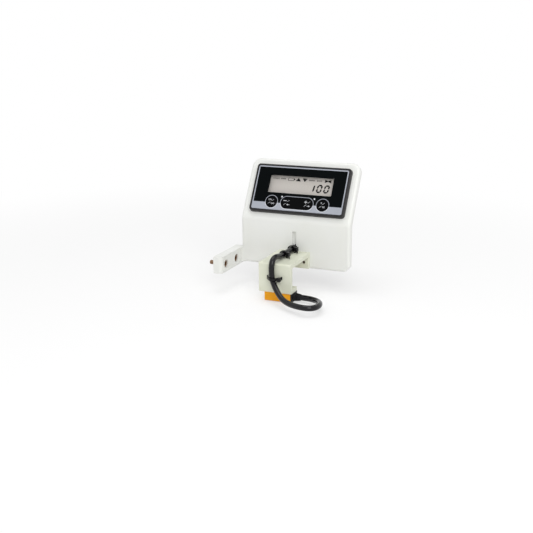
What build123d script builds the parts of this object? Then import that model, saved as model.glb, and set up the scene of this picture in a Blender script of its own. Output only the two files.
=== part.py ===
from build123d import *
import math
import os

# A digital length readout. A panel meter leans back in a moulded carrier plate, whose arm bolts
# to the end of a sliding carriage. A bracket on the plate reaches over a rail and holds a
# magnetic sensor head beneath it, and the head's cable runs back up to the meter.
# The origin is midway between the arm's two fixing holes, on the face that meets the carriage.
# X runs along the rail, away from the carriage, Y goes back and Z goes up. Lengths are in
# millimetres and angles in degrees.

# Fixing arm
arm_thickness = 9
arm_height = 16.5
arm_front = 20.5
arm_corner = 3.5
arm_edge = 1.2
fixing_spacing = 22
fixing_hole = 4.5
fixing_head_bore = 8
fixing_head_sunk = 5

# Carrier plate
carrier_depth = 6
carrier_wall = 3
plate_face = 23.3
bottom_drop = 6.7
lower_height = 45.6
panel_length = 62
panel_tilt = 30
bend_radius = 8
top_corner = 9
foot_corner = 5
edge_round = 2.9
rim = 3
rib = 1.8
arm_root = 16
bracket_boss = 8
clamp_pad = 4
groove_width = 3.8
groove_depth = 2.2
groove_top = 28.4
cable_hole = 6.6

# Meter case. Its bezel comes out at the standard 96 by 48, from the display, the keys and the
# cells inside it.
bezel_side_lip = 2.5
bezel_end_lip = 2
bezel_thickness = 3.9
bezel_flare = 0.4
bezel_corner = 3
bezel_edge = 0.7
bezel_border = 1.7
bezel_left_margin = 8.5
bezel_right_margin = 7
bezel_foot_margin = 6.2
gasket_thickness = 0.6
gasket_inset = 1.2
tube_corner = 2.5
tube_wall = 2
tube_end_room = 1.7
cutout_clearance = 0.5
front_wall = 2.8
foil_recess = 0.6
foil_thickness = 0.45
cover_thickness = 2
cover_screw_inset = 5
cover_boss = 6.4
cover_boss_start = 12
seat_gap = 0.1

# Display, measured from the middle of the bezel
window_width = 65.3
window_height = 18.8
window_x = -0.05
window_corner = 0.8
window_flange = 1.6
window_flange_thickness = 1
glass_side_margin = 1.35
glass_end_margin = 2.6
glass_ledge = 2.5
glass_thickness = 1.2
glass_gap = 0.1
strip_width = 2
holder_wall = 2.3
holder_head_gap = 0.8
holder_foot_gap = 0.6

# Keys
key_x = 26
key_radius = 5.9
key_proud = 0.25
key_skin = 2.4
key_gap = 0.2
key_stem = 6
key_travel = 0.4
key_ear_width = 14.4
key_ear_height = 4
key_ear_thickness = 0.8
rocker_width = 32.4
rocker_gap = 0.35
rocker_tilt = 1.5
rocker_switch_x = 11
rocker_presser = 3
rocker_pivot_depth = 3.9
pivot_pin = 1.5
pivot_clearance = 0.05
guide_front = 4.2
guide_thickness = 1.2
guide_height = 7.6
guide_foot_gap = 2.2
guide_side_gap = 0.5
guide_foot = 4
stem_clearance = 0.1

# Circuit board
board_front = 8.5
board_thickness = 1.6
board_side_play = 0.5
board_end_play = 1
board_edge = 0.4
board_post = 4.6
board_post_gap = 1.6
board_post_inset = 4
board_screw = 1.7
switch_size = 4.5
switch_height = 1.6
switch_button = 2.2
switch_button_height = 0.6
chip_size = 12
chip_height = 1.5
chip_x = 12
header_width = 10
header_height = 6
header_depth = 5
header_gap = 2.3
header_edge = 2

# Battery
cell_diameter = 14.4
cell_length = 50.5
cell_nub = 5.5
cell_nub_length = 1
cell_room = 0.2
tray_wall = 0.8
tray_end_room = 3.45
tray_front = 12.4
tray_floor = 1.2
tray_rim = 0.8
tray_head_gap = 0.4
contact_thickness = 0.4
contact_size = 11

# Panel clamps
clamp_reach = 5.4
clamp_height = 10
clamp_start = 13.5
clamp_depth = 5
clamp_screw = 2.5
clamp_screw_length = 9
clamp_hook = 1.2

# Sensor bracket, a C that wraps over the rail
bracket_offset = -0.4
bracket_width = 32
bracket_top = 9.7
bracket_front = 25
bracket_foot = 18.3
bracket_wall = 4
bracket_leg = 15.4
bracket_lip = 15
bracket_round = 1.5
bracket_edge = 0.35
bracket_screw_spacing = 22
bracket_screw_drop = 9.2
bracket_screw = 3
bracket_head_width = 5.5
bracket_head_height = 3

# Sensor head
sensor_length = 27.5
sensor_depth = 14
sensor_height = 8.6
sensor_setback = 2
sensor_screw_spacing = 15
sensor_screw = 3
sensor_screw_reach = 4.5
sensor_sunk_head = 5.6
sensor_head_sunk = 1.6
sensor_boot_length = 6
sensor_boot_root = 8
sensor_boot_tip = 6.3

# Cable and its ties
cable_diameter = 5.3
case_boot_y = -4
case_boot_length = 9
case_boot_flange = 10
case_boot_neck = 7.6
tie_width = 2.5
tie_thickness = 1
tie_slack = 0.25
tie_head = 3.4
tie_tail = 5
top_tie_places = [-2.5, 17.3]
front_tie_height = -3.5
front_tie_slots = 14
front_tie_peak = 3.2
front_tie_bend = 2.8

# Screws: thread diameter, head diameter, head height
fixing_screw = (4, 7, 4)
fixing_screw_reach = 8
fixing_thread_start = 0.5
small_screw = (2.2, 4.2, 1.5)
board_screw_head = (1.6, 3.6, 1.2)

# Places that follow from the sizes above
tilt = math.radians(panel_tilt)
tray_length = cell_length + 2 * tray_end_room
tray_height = 2 * (cell_diameter + cell_room) + 2 * tray_wall
tray_depth = tray_floor + cell_diameter + tray_rim
tube_end = tray_front + tray_depth + tube_end_room
glass_width = window_width + 2 * glass_side_margin
glass_height = window_height + 2 * glass_end_margin
rear_glass_height = glass_height - 2 * glass_ledge
holder_width = glass_width + 2 * seat_gap + 2 * holder_wall
holder_height = glass_height + 2 * seat_gap + 2 * holder_wall
# The board is as wide as the display or the cells with their header need, whichever is more.
display_half = holder_width / 2 + board_post_gap + board_post + board_edge
battery_half = tray_length / 2 + header_gap + header_width + header_edge
board_width = 2 * max(display_half, battery_half)
board_post_x = board_width / 2 - board_edge - board_post / 2
guide_width = 2 * (board_post_x - board_post / 2 - guide_side_gap)
cavity_width = board_width + 2 * board_side_play
cavity_height = holder_head_gap + holder_height + holder_foot_gap + guide_height + guide_foot_gap
board_height = cavity_height - 2 * board_end_play
board_post_y = board_height / 2 - board_post_inset
window_y = cavity_height / 2 - holder_head_gap - holder_height / 2
key_y = -cavity_height / 2 + guide_foot_gap + guide_height / 2
tray_lift = (cavity_height - tray_height) / 2 - tray_head_gap
case_boot_x = -(tray_length / 2 + header_gap + header_width / 2)
tube_width = cavity_width + 2 * tube_wall
tube_height = cavity_height + 2 * tube_wall
bezel_width = tube_width + 2 * bezel_side_lip
bezel_height = tube_height + 2 * bezel_end_lip
plate_left = arm_thickness
carrier_width = bezel_left_margin + bezel_width + bezel_right_margin
bend_height = lower_height - bottom_drop
bezel_depth = bezel_thickness + gasket_thickness
meter_x = plate_left + bezel_left_margin + bezel_width / 2
meter_rise = bezel_foot_margin + bezel_height / 2
meter_y = plate_face + meter_rise * math.sin(tilt) - bezel_depth * math.cos(tilt)
meter_z = bend_height + meter_rise * math.cos(tilt) + bezel_depth * math.sin(tilt)
meter_plane = Plane(
    origin=(meter_x, meter_y, meter_z),
    x_dir=(1, 0, 0),
    z_dir=(0, -math.cos(tilt), math.sin(tilt)),
)
bracket_x = meter_x + bracket_offset
cable_height = bracket_top + cable_diameter / 2 + 0.15
cable_hole_x = bracket_x - 0.3
guide_back = guide_front + guide_thickness
board_back = board_front + board_thickness
cover_back = tube_end + cover_thickness


def slab(width, height, near, far, corner=0, x=0, y=0):
    """A plate with rounded corners, from depth near to depth far behind the bezel's front."""
    outline = RectangleRounded(width, height, corner) if corner else Rectangle(width, height)
    return extrude(Pos(x, y, -far) * outline, far - near)


def disc(diameter, near, far, x=0, y=0):
    """A round bar along the meter's depth, from depth near to depth far."""
    return extrude(Pos(x, y, -far) * Circle(diameter / 2), far - near)


def rod(diameter, start, direction, length):
    """A round bar from a point, along a direction."""
    return extrude(Plane(origin=start, z_dir=direction) * Circle(diameter / 2), length)


def block(low, high):
    """A box between two opposite corners."""
    size = [b - a for a, b in zip(low, high)]
    middle = [(a + b) / 2 for a, b in zip(low, high)]
    return Pos(*middle) * Box(*size)


def on_meter(shape):
    """Moves a piece drawn on the meter's own axes to its place on the leaning panel."""
    return meter_plane.location * shape


def depth_screw(screw, length, seat, x, y, sunk=0):
    """A cross-head screw driven from behind, its head resting at depth seat."""
    thread, head, head_height = screw
    shank = disc(thread, seat - length, seat + 0.2, x, y)
    cap = disc(head, seat, seat + head_height, x, y)
    cap = fillet(cap.edges().group_by(Axis.Z)[0], head_height * 0.4)
    cross = slab(head * 0.55, 0.6, seat + head_height * 0.4, seat + head_height + 1, 0, x, y)
    cross += slab(0.6, head * 0.55, seat + head_height * 0.4, seat + head_height + 1, 0, x, y)
    return shank + cap - cross


def socket_screw(screw, length, seat, direction, plain=0):
    """A socket-head screw whose head rests on seat. A plain first stretch is thinner."""
    thread, head, head_height = screw
    way = Vector(*direction)
    head_end = Vector(*seat) - way * head_height
    shank = rod(thread, Vector(*seat) + way * plain, direction, length - plain)
    shank = chamfer(shank.edges().sort_by(Axis(seat, direction))[-1], thread * 0.12)
    if plain:
        shank += rod(thread * 0.87, seat, direction, plain)
    cap = rod(head, head_end, direction, head_height)
    cap = chamfer(cap.edges().sort_by(Axis(seat, direction))[0], head * 0.06)
    key = RegularPolygon(head * 0.29, 6)
    recess = extrude(Plane(origin=head_end, z_dir=direction) * key, head_height * 0.55)
    return cap + shank - recess


def group(*solids):
    """Several separate solids that share one node."""
    return Compound(children=[part for solid in solids for part in solid.solids()])


def band_point(depth, rise):
    """A point of the carrier's section: depth behind its face, rise above or below the bend."""
    if rise == 0:
        return (plate_face + depth, bend_height - depth * math.tan(tilt / 2))
    if rise < 0:
        return (plate_face + depth, bend_height + rise)
    y = plate_face + rise * math.sin(tilt) + depth * math.cos(tilt)
    return (y, bend_height + rise * math.cos(tilt) - depth * math.sin(tilt))


def bent_band(near, far, drop, rise, left, right, front_bend, back_bend):
    """A bent plate between two depths, from drop below the bend to rise above it."""
    corners = [
        band_point(near, -drop), band_point(near, 0), band_point(near, rise),
        band_point(far, rise), band_point(far, 0), band_point(far, -drop),
    ]
    points = [(left, y, z) for y, z in corners]
    radii = [0, front_bend, 0, 0, back_bend, 0]
    outline = FilletPolyline(*points, radius=radii, close=True)
    return extrude(make_face(outline), right - left, dir=(1, 0, 0))


def foot_cut(inset):
    """The corner piece that is cut away at the plate's lower right."""
    right = plate_left + carrier_width - inset
    foot = -bottom_drop + inset
    size = foot_corner
    spare = 4
    points = [(right - size, foot), (right, foot + size), (right + spare, foot + size),
              (right + spare, foot - spare), (right - size, foot - spare)]
    face = make_face(Polyline(*[(x, plate_face - spare, z) for x, z in points], close=True))
    return extrude(face, carrier_depth + 2 * spare, dir=(0, 1, 0))


def panel_corners(solid, radius):
    """Rounds the two top corners of a bent plate, seen square to the panel."""
    inward = (0, math.cos(tilt), -math.sin(tilt))
    edges = solid.edges().filter_by(Axis((0, 0, 0), inward)).sort_by(Axis.Z)[-4:]
    return fillet(edges, radius)


def face_outline(solid):
    """The outer edges of the plate's front, which is flat below and leans back above."""
    fronts = [face for face in solid.faces() if face.normal_at().Y < -0.5]
    edges = [edge for face in fronts for edge in face.edges()]
    return [edge for edge in edges if sum(edge.is_same(other) for other in edges) == 1]


def plate_shell():
    """The bent plate, hollowed from behind to one wall and a rim."""
    right = plate_left + carrier_width
    outer = bent_band(0, carrier_depth, lower_height, panel_length, plate_left, right,
                      bend_radius, bend_radius - carrier_depth)
    outer = panel_corners(outer, top_corner) - foot_cut(0)
    outer = fillet(face_outline(outer), edge_round)
    pocket = bent_band(carrier_wall, carrier_depth + 2, lower_height - rim, panel_length - rim,
                       plate_left + rim, right - rim, bend_radius - carrier_wall, 0)
    pocket = panel_corners(pocket, top_corner - rim) - foot_cut(rim)
    return outer - pocket


def plate_ribs():
    """The ribs and bosses that fill parts of the plate's hollow back."""
    near, far = plate_face + carrier_wall - 0.5, plate_face + carrier_depth
    foot, head = -bottom_drop + 1, bend_height - carrier_depth
    solids = []
    for side in (-1, 1):
        x = meter_x + side * (bracket_width / 2 + 8)
        solids.append(block((x - rib / 2, near, foot), (x + rib / 2, far, head)))
        x = bracket_x + side * bracket_screw_spacing / 2
        place = (x, near, bracket_top - bracket_screw_drop)
        solids.append(rod(bracket_boss, place, (0, 1, 0), far - near))
    backing = cable_hole_x - groove_width
    solids.append(block((backing, near, foot), (backing + 2 * groove_width, far, head)))
    hole = rod(cable_hole + 2 * carrier_wall, (cable_hole_x, near, cable_height), (0, 1, 0), far - near)
    root = block((plate_left, near, -bottom_drop + 0.5), (plate_left + arm_root, far, arm_height / 2))
    return solids + [hole, root]


def cutout_collar():
    """The thick frame around the meter's cut-out, which the clamp screws press on."""
    width = tube_width + 2 * cutout_clearance
    height = tube_height + 2 * cutout_clearance
    near, far = bezel_depth + carrier_wall - 0.5, bezel_depth + carrier_depth
    return slab(width + 2 * clamp_pad, height + 2 * rib, near, far, tube_corner)


def cutout():
    """The opening in the panel that the meter's tube passes through."""
    width = tube_width + 2 * cutout_clearance
    height = tube_height + 2 * cutout_clearance
    return slab(width, height, bezel_depth - 3, bezel_depth + carrier_depth + 3, tube_corner)


def fixing_arm():
    """The arm that reaches forward beside the carriage."""
    low = (0, -arm_front, -arm_height / 2)
    high = (arm_thickness, plate_face + carrier_depth, arm_height / 2)
    arm = block(low, high)
    front = arm.edges().group_by(Axis.Y)[0]
    arm = fillet(front.filter_by(Axis.Z).sort_by(Axis.X)[-1], arm_corner)
    lower = arm.faces().sort_by(Axis.Z)[0].edges().sort_by(Axis.Y)[0]
    arm = fillet(lower, arm_edge)
    # A square inner corner joins the arm to the plate's rounded edge.
    join = block((arm_thickness - 1, plate_face, -bottom_drop),
                 (arm_thickness + edge_round, plate_face + carrier_depth, arm_height / 2))
    return arm + join


def fixing_holes():
    """The two counterbored holes in the arm."""
    cuts = []
    for side in (-1, 1):
        y = side * fixing_spacing / 2
        cuts.append(rod(fixing_hole, (-1, y, 0), (1, 0, 0), arm_thickness + 2))
        mouth = (arm_thickness - fixing_head_sunk, y, 0)
        cuts.append(rod(fixing_head_bore, mouth, (1, 0, 0), fixing_head_sunk + 1))
    return cuts


def plate_holes():
    """The cable's hole and groove, and the bracket's screw holes."""
    near, length = plate_face - 1, carrier_depth + 2
    cuts = [rod(cable_hole, (cable_hole_x, near, cable_height), (0, 1, 0), length)]
    half = groove_width / 2
    low = (cable_hole_x - half, plate_face - 1, cable_height)
    high = (cable_hole_x + half, plate_face + groove_depth, groove_top)
    cuts.append(block(low, high))
    for side in (-1, 1):
        x = bracket_x + side * bracket_screw_spacing / 2
        place = (x, near, bracket_top - bracket_screw_drop)
        cuts.append(rod(bracket_screw + 0.4, place, (0, 1, 0), length))
    return cuts


def carrier_plate():
    """The whole moulding: bent plate, ribs, collar and arm in one piece."""
    plate = plate_shell()
    for rib_solid in plate_ribs():
        plate += rib_solid
    plate += on_meter(cutout_collar())
    plate += fixing_arm()
    plate -= on_meter(cutout())
    for cut in fixing_holes() + plate_holes():
        plate -= cut
    return plate


def fixing_screws():
    """Two socket-head screws through the arm into the carriage, threaded beyond the arm's face."""
    seat_x = arm_thickness - fixing_head_sunk
    length = seat_x + fixing_screw_reach
    plain = seat_x + fixing_thread_start
    places = [(seat_x, side * fixing_spacing / 2, 0) for side in (-1, 1)]
    return group(*[socket_screw(fixing_screw, length, place, (-1, 0, 0), plain) for place in places])


def key_openings(far, gap=0, rocker_play=0):
    """The three key holes, from in front of the bezel to depth far."""
    width = rocker_width + 2 * rocker_play
    height = 2 * (key_radius + rocker_play)
    cuts = slab(width, height, -1, far, height / 2 - 0.01, 0, key_y)
    for side in (-1, 1):
        cuts += disc(2 * (key_radius + gap), -1, far, side * key_x, key_y)
    return cuts


def meter_case():
    """Bezel, front wall and tube in one moulding, open behind."""
    front = RectangleRounded(bezel_width, bezel_height, bezel_corner)
    flare = 2 * bezel_flare
    back = RectangleRounded(bezel_width + flare, bezel_height + flare, bezel_corner + bezel_flare)
    bezel = loft([front, Pos(0, 0, -bezel_thickness) * back])
    bezel = fillet(bezel.edges().group_by(Axis.Z)[-1], bezel_edge)
    tube = slab(tube_width, tube_height, bezel_thickness - 0.5, tube_end, tube_corner)
    case = bezel + tube
    case -= slab(cavity_width, cavity_height, front_wall, tube_end + 1, tube_corner - 1)
    recess = 2 * bezel_border
    case -= slab(bezel_width - recess, bezel_height - recess, -1, foil_recess, bezel_corner - 1.4)
    case -= slab(window_width, window_height, -1, front_wall + 1, window_corner, window_x, window_y)
    case -= key_openings(front_wall + 1, key_gap, rocker_gap)
    for solid in board_posts() + cover_bosses():
        case += solid
    for cut in case_holes() + clamp_slots():
        case -= cut
    return case


def board_posts():
    """Four posts behind the front wall that carry the circuit board."""
    posts = []
    for x in (-board_post_x, board_post_x):
        for y in (-board_post_y, board_post_y):
            posts.append(disc(board_post, front_wall - 0.5, board_front, x, y))
    return posts


def cover_screw_places():
    """The four corners that hold the rear cover's screws."""
    x = tube_width / 2 - cover_screw_inset
    y = tube_height / 2 - cover_screw_inset
    return [(side_x * x, side_y * y) for side_x in (-1, 1) for side_y in (-1, 1)]


def cover_bosses():
    """Four bosses in the tube's corners, each joined to the walls by a web."""
    bosses = []
    for x, y in cover_screw_places():
        bosses.append(disc(cover_boss, cover_boss_start, tube_end, x, y))
        side_x = math.copysign(tube_width / 2 - tube_wall / 2, x)
        side_y = math.copysign(tube_height / 2 - tube_wall / 2, y)
        corner = Pos((x + side_x) / 2, (y + side_y) / 2)
        size = (abs(side_x - x), abs(side_y - y))
        bosses.append(extrude(corner * Pos(0, 0, -tube_end) * Rectangle(*size),
                              tube_end - cover_boss_start))
    return bosses


def case_holes():
    """Pilot holes for the board's and the cover's screws."""
    cuts = []
    for x in (-board_post_x, board_post_x):
        for y in (-board_post_y, board_post_y):
            cuts.append(disc(board_screw, front_wall + 1, board_front + 1, x, y))
    for x, y in cover_screw_places():
        cuts.append(disc(small_screw[0] + 0.1, cover_boss_start + 4, tube_end + 1, x, y))
    return cuts


def clamp_slots():
    """A slot in each side of the tube that a panel clamp hooks into."""
    cuts = []
    for side in (-1, 1):
        x = side * (tube_width / 2 - clamp_hook / 2)
        cuts.append(slab(clamp_hook + 0.4, clamp_height / 2 + 0.4, clamp_start + 1,
                         clamp_start + clamp_depth - 1 + 0.2, 0, x + side * 0.1, 0))
    return cuts


def panel_gasket():
    """A flat rubber frame between the bezel and the panel."""
    inset = 2 * gasket_inset
    outer = slab(bezel_width - inset, bezel_height - inset, bezel_thickness, bezel_depth, 2)
    width = tube_width + cutout_clearance
    return outer - slab(width, tube_height + cutout_clearance, 0, bezel_depth + 1, tube_corner)


def front_foil():
    """The printed foil in the bezel's recess, open for the window and the keys."""
    inset = 2 * (bezel_border + seat_gap)
    near = foil_recess - foil_thickness
    foil = slab(bezel_width - inset, bezel_height - inset, near, foil_recess, bezel_corner - 1.5)
    foil -= slab(window_width, window_height, -1, front_wall, window_corner, window_x, window_y)
    return foil - key_openings(front_wall, key_gap, rocker_gap)


def display_window():
    """The clear pane, its raised middle filling the opening in the front wall."""
    width, height = window_width - 2 * seat_gap, window_height - 2 * seat_gap
    near = foil_recess - foil_thickness + 0.05
    raised = slab(width, height, near, front_wall, window_corner - 0.1, window_x, window_y)
    flange = slab(window_width + 2 * window_flange, window_height + 2 * window_flange,
                  front_wall, front_wall + window_flange_thickness, 1, window_x, window_y)
    return raised + flange


def glass_depths():
    """Depths of the display glass: front, between its two sheets, and back."""
    near = front_wall + window_flange_thickness + glass_gap
    return near, near + glass_thickness, near + 2 * glass_thickness


def display_glass():
    """The liquid crystal cell: a front sheet with contact ledges and a shorter rear sheet."""
    near, middle, far = glass_depths()
    front = slab(glass_width, glass_height, near, middle, 0.4, window_x, window_y)
    return front + slab(glass_width, rear_glass_height, middle, far, 0.4, window_x, window_y)


def display_holder():
    """The plastic frame that keeps the glass and its contact strips on the board."""
    near = front_wall + window_flange_thickness
    width, height = glass_width + 2 * seat_gap, glass_height + 2 * seat_gap
    outer = slab(width + 2 * holder_wall, height + 2 * holder_wall, near, board_front, 1,
                 window_x, window_y)
    holder = outer - slab(width, height, near - 1, board_front + 1, 0.5, window_x, window_y)
    for side in (-1, 1):
        x = window_x + side * (width + holder_wall) / 2
        holder += disc(holder_wall * 0.7, board_front - 0.5, board_back, x, window_y)
    return holder


def contact_strips():
    """Two strips of layered rubber that join the glass's ledges to the board."""
    middle = glass_depths()[1]
    y = (glass_height - strip_width) / 2 - 0.1
    length = glass_width - 4
    return group(*[slab(length, strip_width, middle, board_front, 0, window_x, window_y + side * y)
                   for side in (-1, 1)])


def round_key(side):
    """A round key: cap, two ears behind the front wall, and a stem over its switch."""
    x = side * key_x
    cap = disc(2 * key_radius, -key_proud, key_skin, x, key_y)
    cap = fillet(cap.edges().group_by(Axis.Z)[-1], key_proud)
    near = front_wall + 0.05
    ears = slab(key_ear_width, key_ear_height, near, near + key_ear_thickness, 1, x, key_y)
    stem_end = board_front - switch_height - switch_button_height - key_travel - 0.1
    return cap + ears + disc(key_stem, key_skin - 0.5, stem_end, x, key_y)


def rocker_key():
    """The long key, which rocks on a pin across its middle and presses a switch at each end."""
    height = 2 * key_radius
    cap = slab(rocker_width, height, -key_proud, key_skin, height / 2 - 0.01, 0, key_y)
    cap = fillet(cap.edges().group_by(Axis.Z)[-1], key_proud)
    hub_width = pivot_pin + 2
    hub = slab(hub_width, guide_height / 2 + 0.6, key_skin - 0.5, rocker_pivot_depth + 0.8, 0, 0, key_y)
    pin_length = guide_height - 0.6
    start = (0, key_y - pin_length / 2, -rocker_pivot_depth)
    key = cap + hub + rod(pivot_pin, start, (0, 1, 0), pin_length)
    reach = rocker_switch_x * math.sin(math.radians(rocker_tilt))
    stem_end = board_front - switch_height - switch_button_height - reach - 0.15
    for side in (-1, 1):
        key += disc(rocker_presser, key_skin - 0.5, stem_end, side * rocker_switch_x, key_y)
    return key


def key_guide():
    """The guide behind the keys: stem holes, the rocker's two bearings and two feet."""
    plate = slab(guide_width, guide_height, guide_front, guide_back, 0.8, 0, key_y)
    bearing = 1.2
    front = front_wall + 0.1
    for side in (-1, 1):
        y = key_y + side * (guide_height - bearing - 0.2) / 2
        plate += slab(pivot_pin + 2.4, bearing, front, guide_back, 0, 0, y)
        x = side * (guide_width / 2 - guide_foot / 2)
        plate += slab(guide_foot, guide_height, guide_front, board_front, 0.6, x, key_y)
        plate -= disc(key_stem + 2 * stem_clearance, 0, guide_back + 1, side * key_x, key_y)
        plate -= disc(rocker_presser + 0.8, 0, guide_back + 1, side * rocker_switch_x, key_y)
    hub_hole = guide_height - 2 * bearing - 0.4
    plate -= slab(pivot_pin + 3, hub_hole, 0, guide_back + 1, 0, 0, key_y)
    start = (0, key_y - guide_height / 2 - 1, -rocker_pivot_depth)
    return plate - rod(pivot_pin + 2 * pivot_clearance, start, (0, 1, 0), guide_height + 2)


def tact_switches():
    """Four push switches on the board, one under each key position."""
    switches = []
    for x in (-key_x, -rocker_switch_x, rocker_switch_x, key_x):
        top = board_front - switch_height
        body = slab(switch_size, switch_size, top, board_front, 0.3, x, key_y)
        switches.append(body + disc(switch_button, top - switch_button_height, top + 0.2, x, key_y))
    return group(*switches)


def circuit_board():
    """The board behind the display, with holes for its screws and the holder's pegs."""
    board = slab(board_width, board_height, board_front, board_back, 1)
    for x in (-board_post_x, board_post_x):
        for y in (-board_post_y, board_post_y):
            board -= disc(board_screw + 0.5, board_front - 1, board_back + 1, x, y)
    width = glass_width + 2 * seat_gap
    for side in (-1, 1):
        x = window_x + side * (width + holder_wall) / 2
        board -= disc(holder_wall * 0.7 + 0.1, board_front - 1, board_back + 1, x, window_y)
    return board


def board_screws():
    """Four small screws that hold the board on its posts."""
    places = [(x, y) for x in (-board_post_x, board_post_x) for y in (-board_post_y, board_post_y)]
    return group(*[depth_screw(board_screw_head, 5, board_back, x, y) for x, y in places])


def controller_chip():
    """The processor on the back of the board."""
    chip = slab(chip_size, chip_size, board_back, board_back + chip_height, 0.5, chip_x, key_y + 1)
    return chamfer(chip.edges().group_by(Axis.Z)[0], 0.3)


def cable_header():
    """The shrouded socket on the board that the sensor's lead plugs into."""
    far = board_back + header_depth
    x = case_boot_x
    shroud = slab(header_width, header_height, board_back, far, 0.4, x, case_boot_y)
    shroud -= slab(header_width - 1.6, header_height - 1.6, board_back + 1, far + 1, 0,
                   x, case_boot_y)
    for step in range(4):
        shroud += slab(0.6, 0.6, board_back + 0.5, far - 1, 0, x + (step - 1.5) * 2, case_boot_y)
    return shroud


def inner_lead():
    """The lead inside the case: a plug in the header, and its jacket back to the boot."""
    near = board_back + header_depth - 2.5
    far = board_back + header_depth + 1.5
    width, height = header_width - 1.8, header_height - 1.8
    plug = slab(width, height, near, far, 0.4, case_boot_x, case_boot_y)
    for step in range(4):
        plug -= slab(0.8, 0.8, near - 1, board_back + header_depth - 0.8, 0,
                     case_boot_x + (step - 1.5) * 2, case_boot_y)
    return plug + disc(height - 0.2, far - 1, tube_end - 1, case_boot_x, case_boot_y)


def battery_tray():
    """An open tray for two cells, its end walls cut down so that a cell can be lifted out."""
    far = tray_front + tray_depth
    tray = slab(tray_length, tray_height, tray_front, far, 1, 0, tray_lift)
    floor = tray_front + tray_floor
    tray -= slab(tray_length - 3, tray_height - 2 * tray_wall, floor, far + 1, 0, 0, tray_lift)
    notch = slab(tray_length / 3, tray_height + 2, far - tray_depth / 3, far + 1, 0, 0, tray_lift)
    tray -= notch
    for side_x in (-1, 1):
        for side_y in (-1, 1):
            x, y = side_x * tray_length * 0.4, tray_lift + side_y * tray_height * 0.4
            tray += disc(4, board_back, tray_front + 0.5, x, y)
    return tray


def cell_places():
    """Height, depth and pole direction of the two cells."""
    depth = tray_front + tray_floor + cell_diameter / 2 + 0.05
    step = (cell_diameter + cell_room) / 2
    return [(tray_lift - step, depth, 1), (tray_lift + step, depth, -1)]


def battery_cells():
    """Two round cells, laid head to tail."""
    cells = []
    for y, depth, pole in cell_places():
        body = cell_length - cell_nub_length
        can = rod(cell_diameter, (-pole * cell_length / 2, y, -depth), (pole, 0, 0), body)
        can = fillet(can.edges(), 0.6)
        nub = (pole * (cell_length / 2 - cell_nub_length - 0.5), y, -depth)
        cells.append(can + rod(cell_nub, nub, (pole, 0, 0), cell_nub_length + 0.5))
    return group(*cells)


def battery_contacts():
    """A flat contact and a spring contact for each cell."""
    contacts = []
    wall_x = tray_length / 2 - 1.5
    size = contact_size / 2
    for y, depth, pole in cell_places():
        for side in (-1, 1):
            outer, inner = side * (wall_x - 0.05), side * (wall_x - 0.05 - contact_thickness)
            low = (min(outer, inner), y - size, -depth - size)
            high = (max(outer, inner), y + size, -depth + size)
            plate = block(low, high)
            gap = wall_x - 0.05 - contact_thickness - cell_length / 2
            if side != pole:
                spring = Plane(origin=(inner, y, -depth), z_dir=(-side, 0, 0))
                plate += spring.location * Pos(0, 0, gap / 2 - 0.15) * Cone(4, 2.5, gap - 0.3)
            else:
                plate += rod(5, (inner, y, -depth), (-side, 0, 0), gap - 0.1)
            contacts.append(plate)
    return group(*contacts)


def rear_cover():
    """The flat cover that closes the tube, with locating bars inside its edge."""
    cover = slab(tube_width, tube_height, tube_end, cover_back, tube_corner)
    cover = fillet(cover.edges().group_by(Axis.Z)[0], 0.6)
    bar, depth = 1.2, 2
    for side in (-1, 1):
        y = side * (cavity_height / 2 - seat_gap - bar / 2)
        cover += slab(tray_length, bar, tube_end - depth + 0.6, tube_end + 0.5, 0, 0, y)
        x = side * (cavity_width / 2 - seat_gap - bar / 2)
        cover += slab(bar, cavity_height / 2, tube_end - depth, tube_end + 0.5, 0, x, 0)
    for x, y in cover_screw_places():
        cover -= disc(small_screw[0] + 0.4, 0, cover_back + 1, x, y)
    return cover - disc(case_boot_neck + 0.1, 0, cover_back + 1, case_boot_x, case_boot_y)


def cover_screws():
    """Four screws that hold the rear cover."""
    return group(*[depth_screw(small_screw, 10, cover_back, x, y) for x, y in cover_screw_places()])


def case_boot():
    """The rubber boot that grips the rear cover's hole and leads the cable out."""
    neck, flange = case_boot_neck / 2, case_boot_flange / 2
    inner, outer = tube_end, cover_back
    tip = outer + case_boot_length
    lip = cable_diameter / 2 + 0.9
    profile = [(0, inner - 1), (flange, inner - 1), (flange, inner), (neck, inner),
               (neck, outer), (flange, outer), (flange, outer + 1.2), (lip, tip), (0, tip)]
    face = make_face(Polyline(*[(r, 0, -depth) for r, depth in profile], close=True))
    return Pos(case_boot_x, case_boot_y) * revolve(face, Axis.Z)


def clamp_screw_x():
    """How far the clamp screws stand from the meter's middle."""
    return tube_width / 2 + cutout_clearance + clamp_pad / 2 + 0.3


def panel_clamps():
    """A clamp each side of the tube, hooked into it, that pulls the bezel on to the panel."""
    clamps = []
    for side in (-1, 1):
        inner = tube_width / 2 + 0.1
        x = side * (inner + clamp_reach / 2)
        far = clamp_start + clamp_depth
        clamp = slab(clamp_reach, clamp_height, clamp_start, far, 0.8, x, 0)
        hook_x = side * (inner - clamp_hook / 2 + 0.2)
        clamp += slab(clamp_hook, clamp_height / 2, clamp_start + 1.1, far - 1, 0, hook_x, 0)
        clamp -= disc(clamp_screw + 0.1, 0, far + 1, side * clamp_screw_x(), 0)
        clamps.append(clamp)
    return group(*clamps)


def clamp_screws():
    """Two slotted screws whose tips press on the collar behind the panel."""
    near = bezel_depth + carrier_depth
    far = near + clamp_screw_length
    screws = []
    for side in (-1, 1):
        x = side * clamp_screw_x()
        screw = disc(clamp_screw, near, far, x, 0)
        screw = chamfer(screw.edges().group_by(Axis.Z)[-1], 0.4)
        screws.append(screw - slab(clamp_screw + 1, 0.5, far - 1, far + 1, 0, x, 0))
    return group(*screws)


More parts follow.
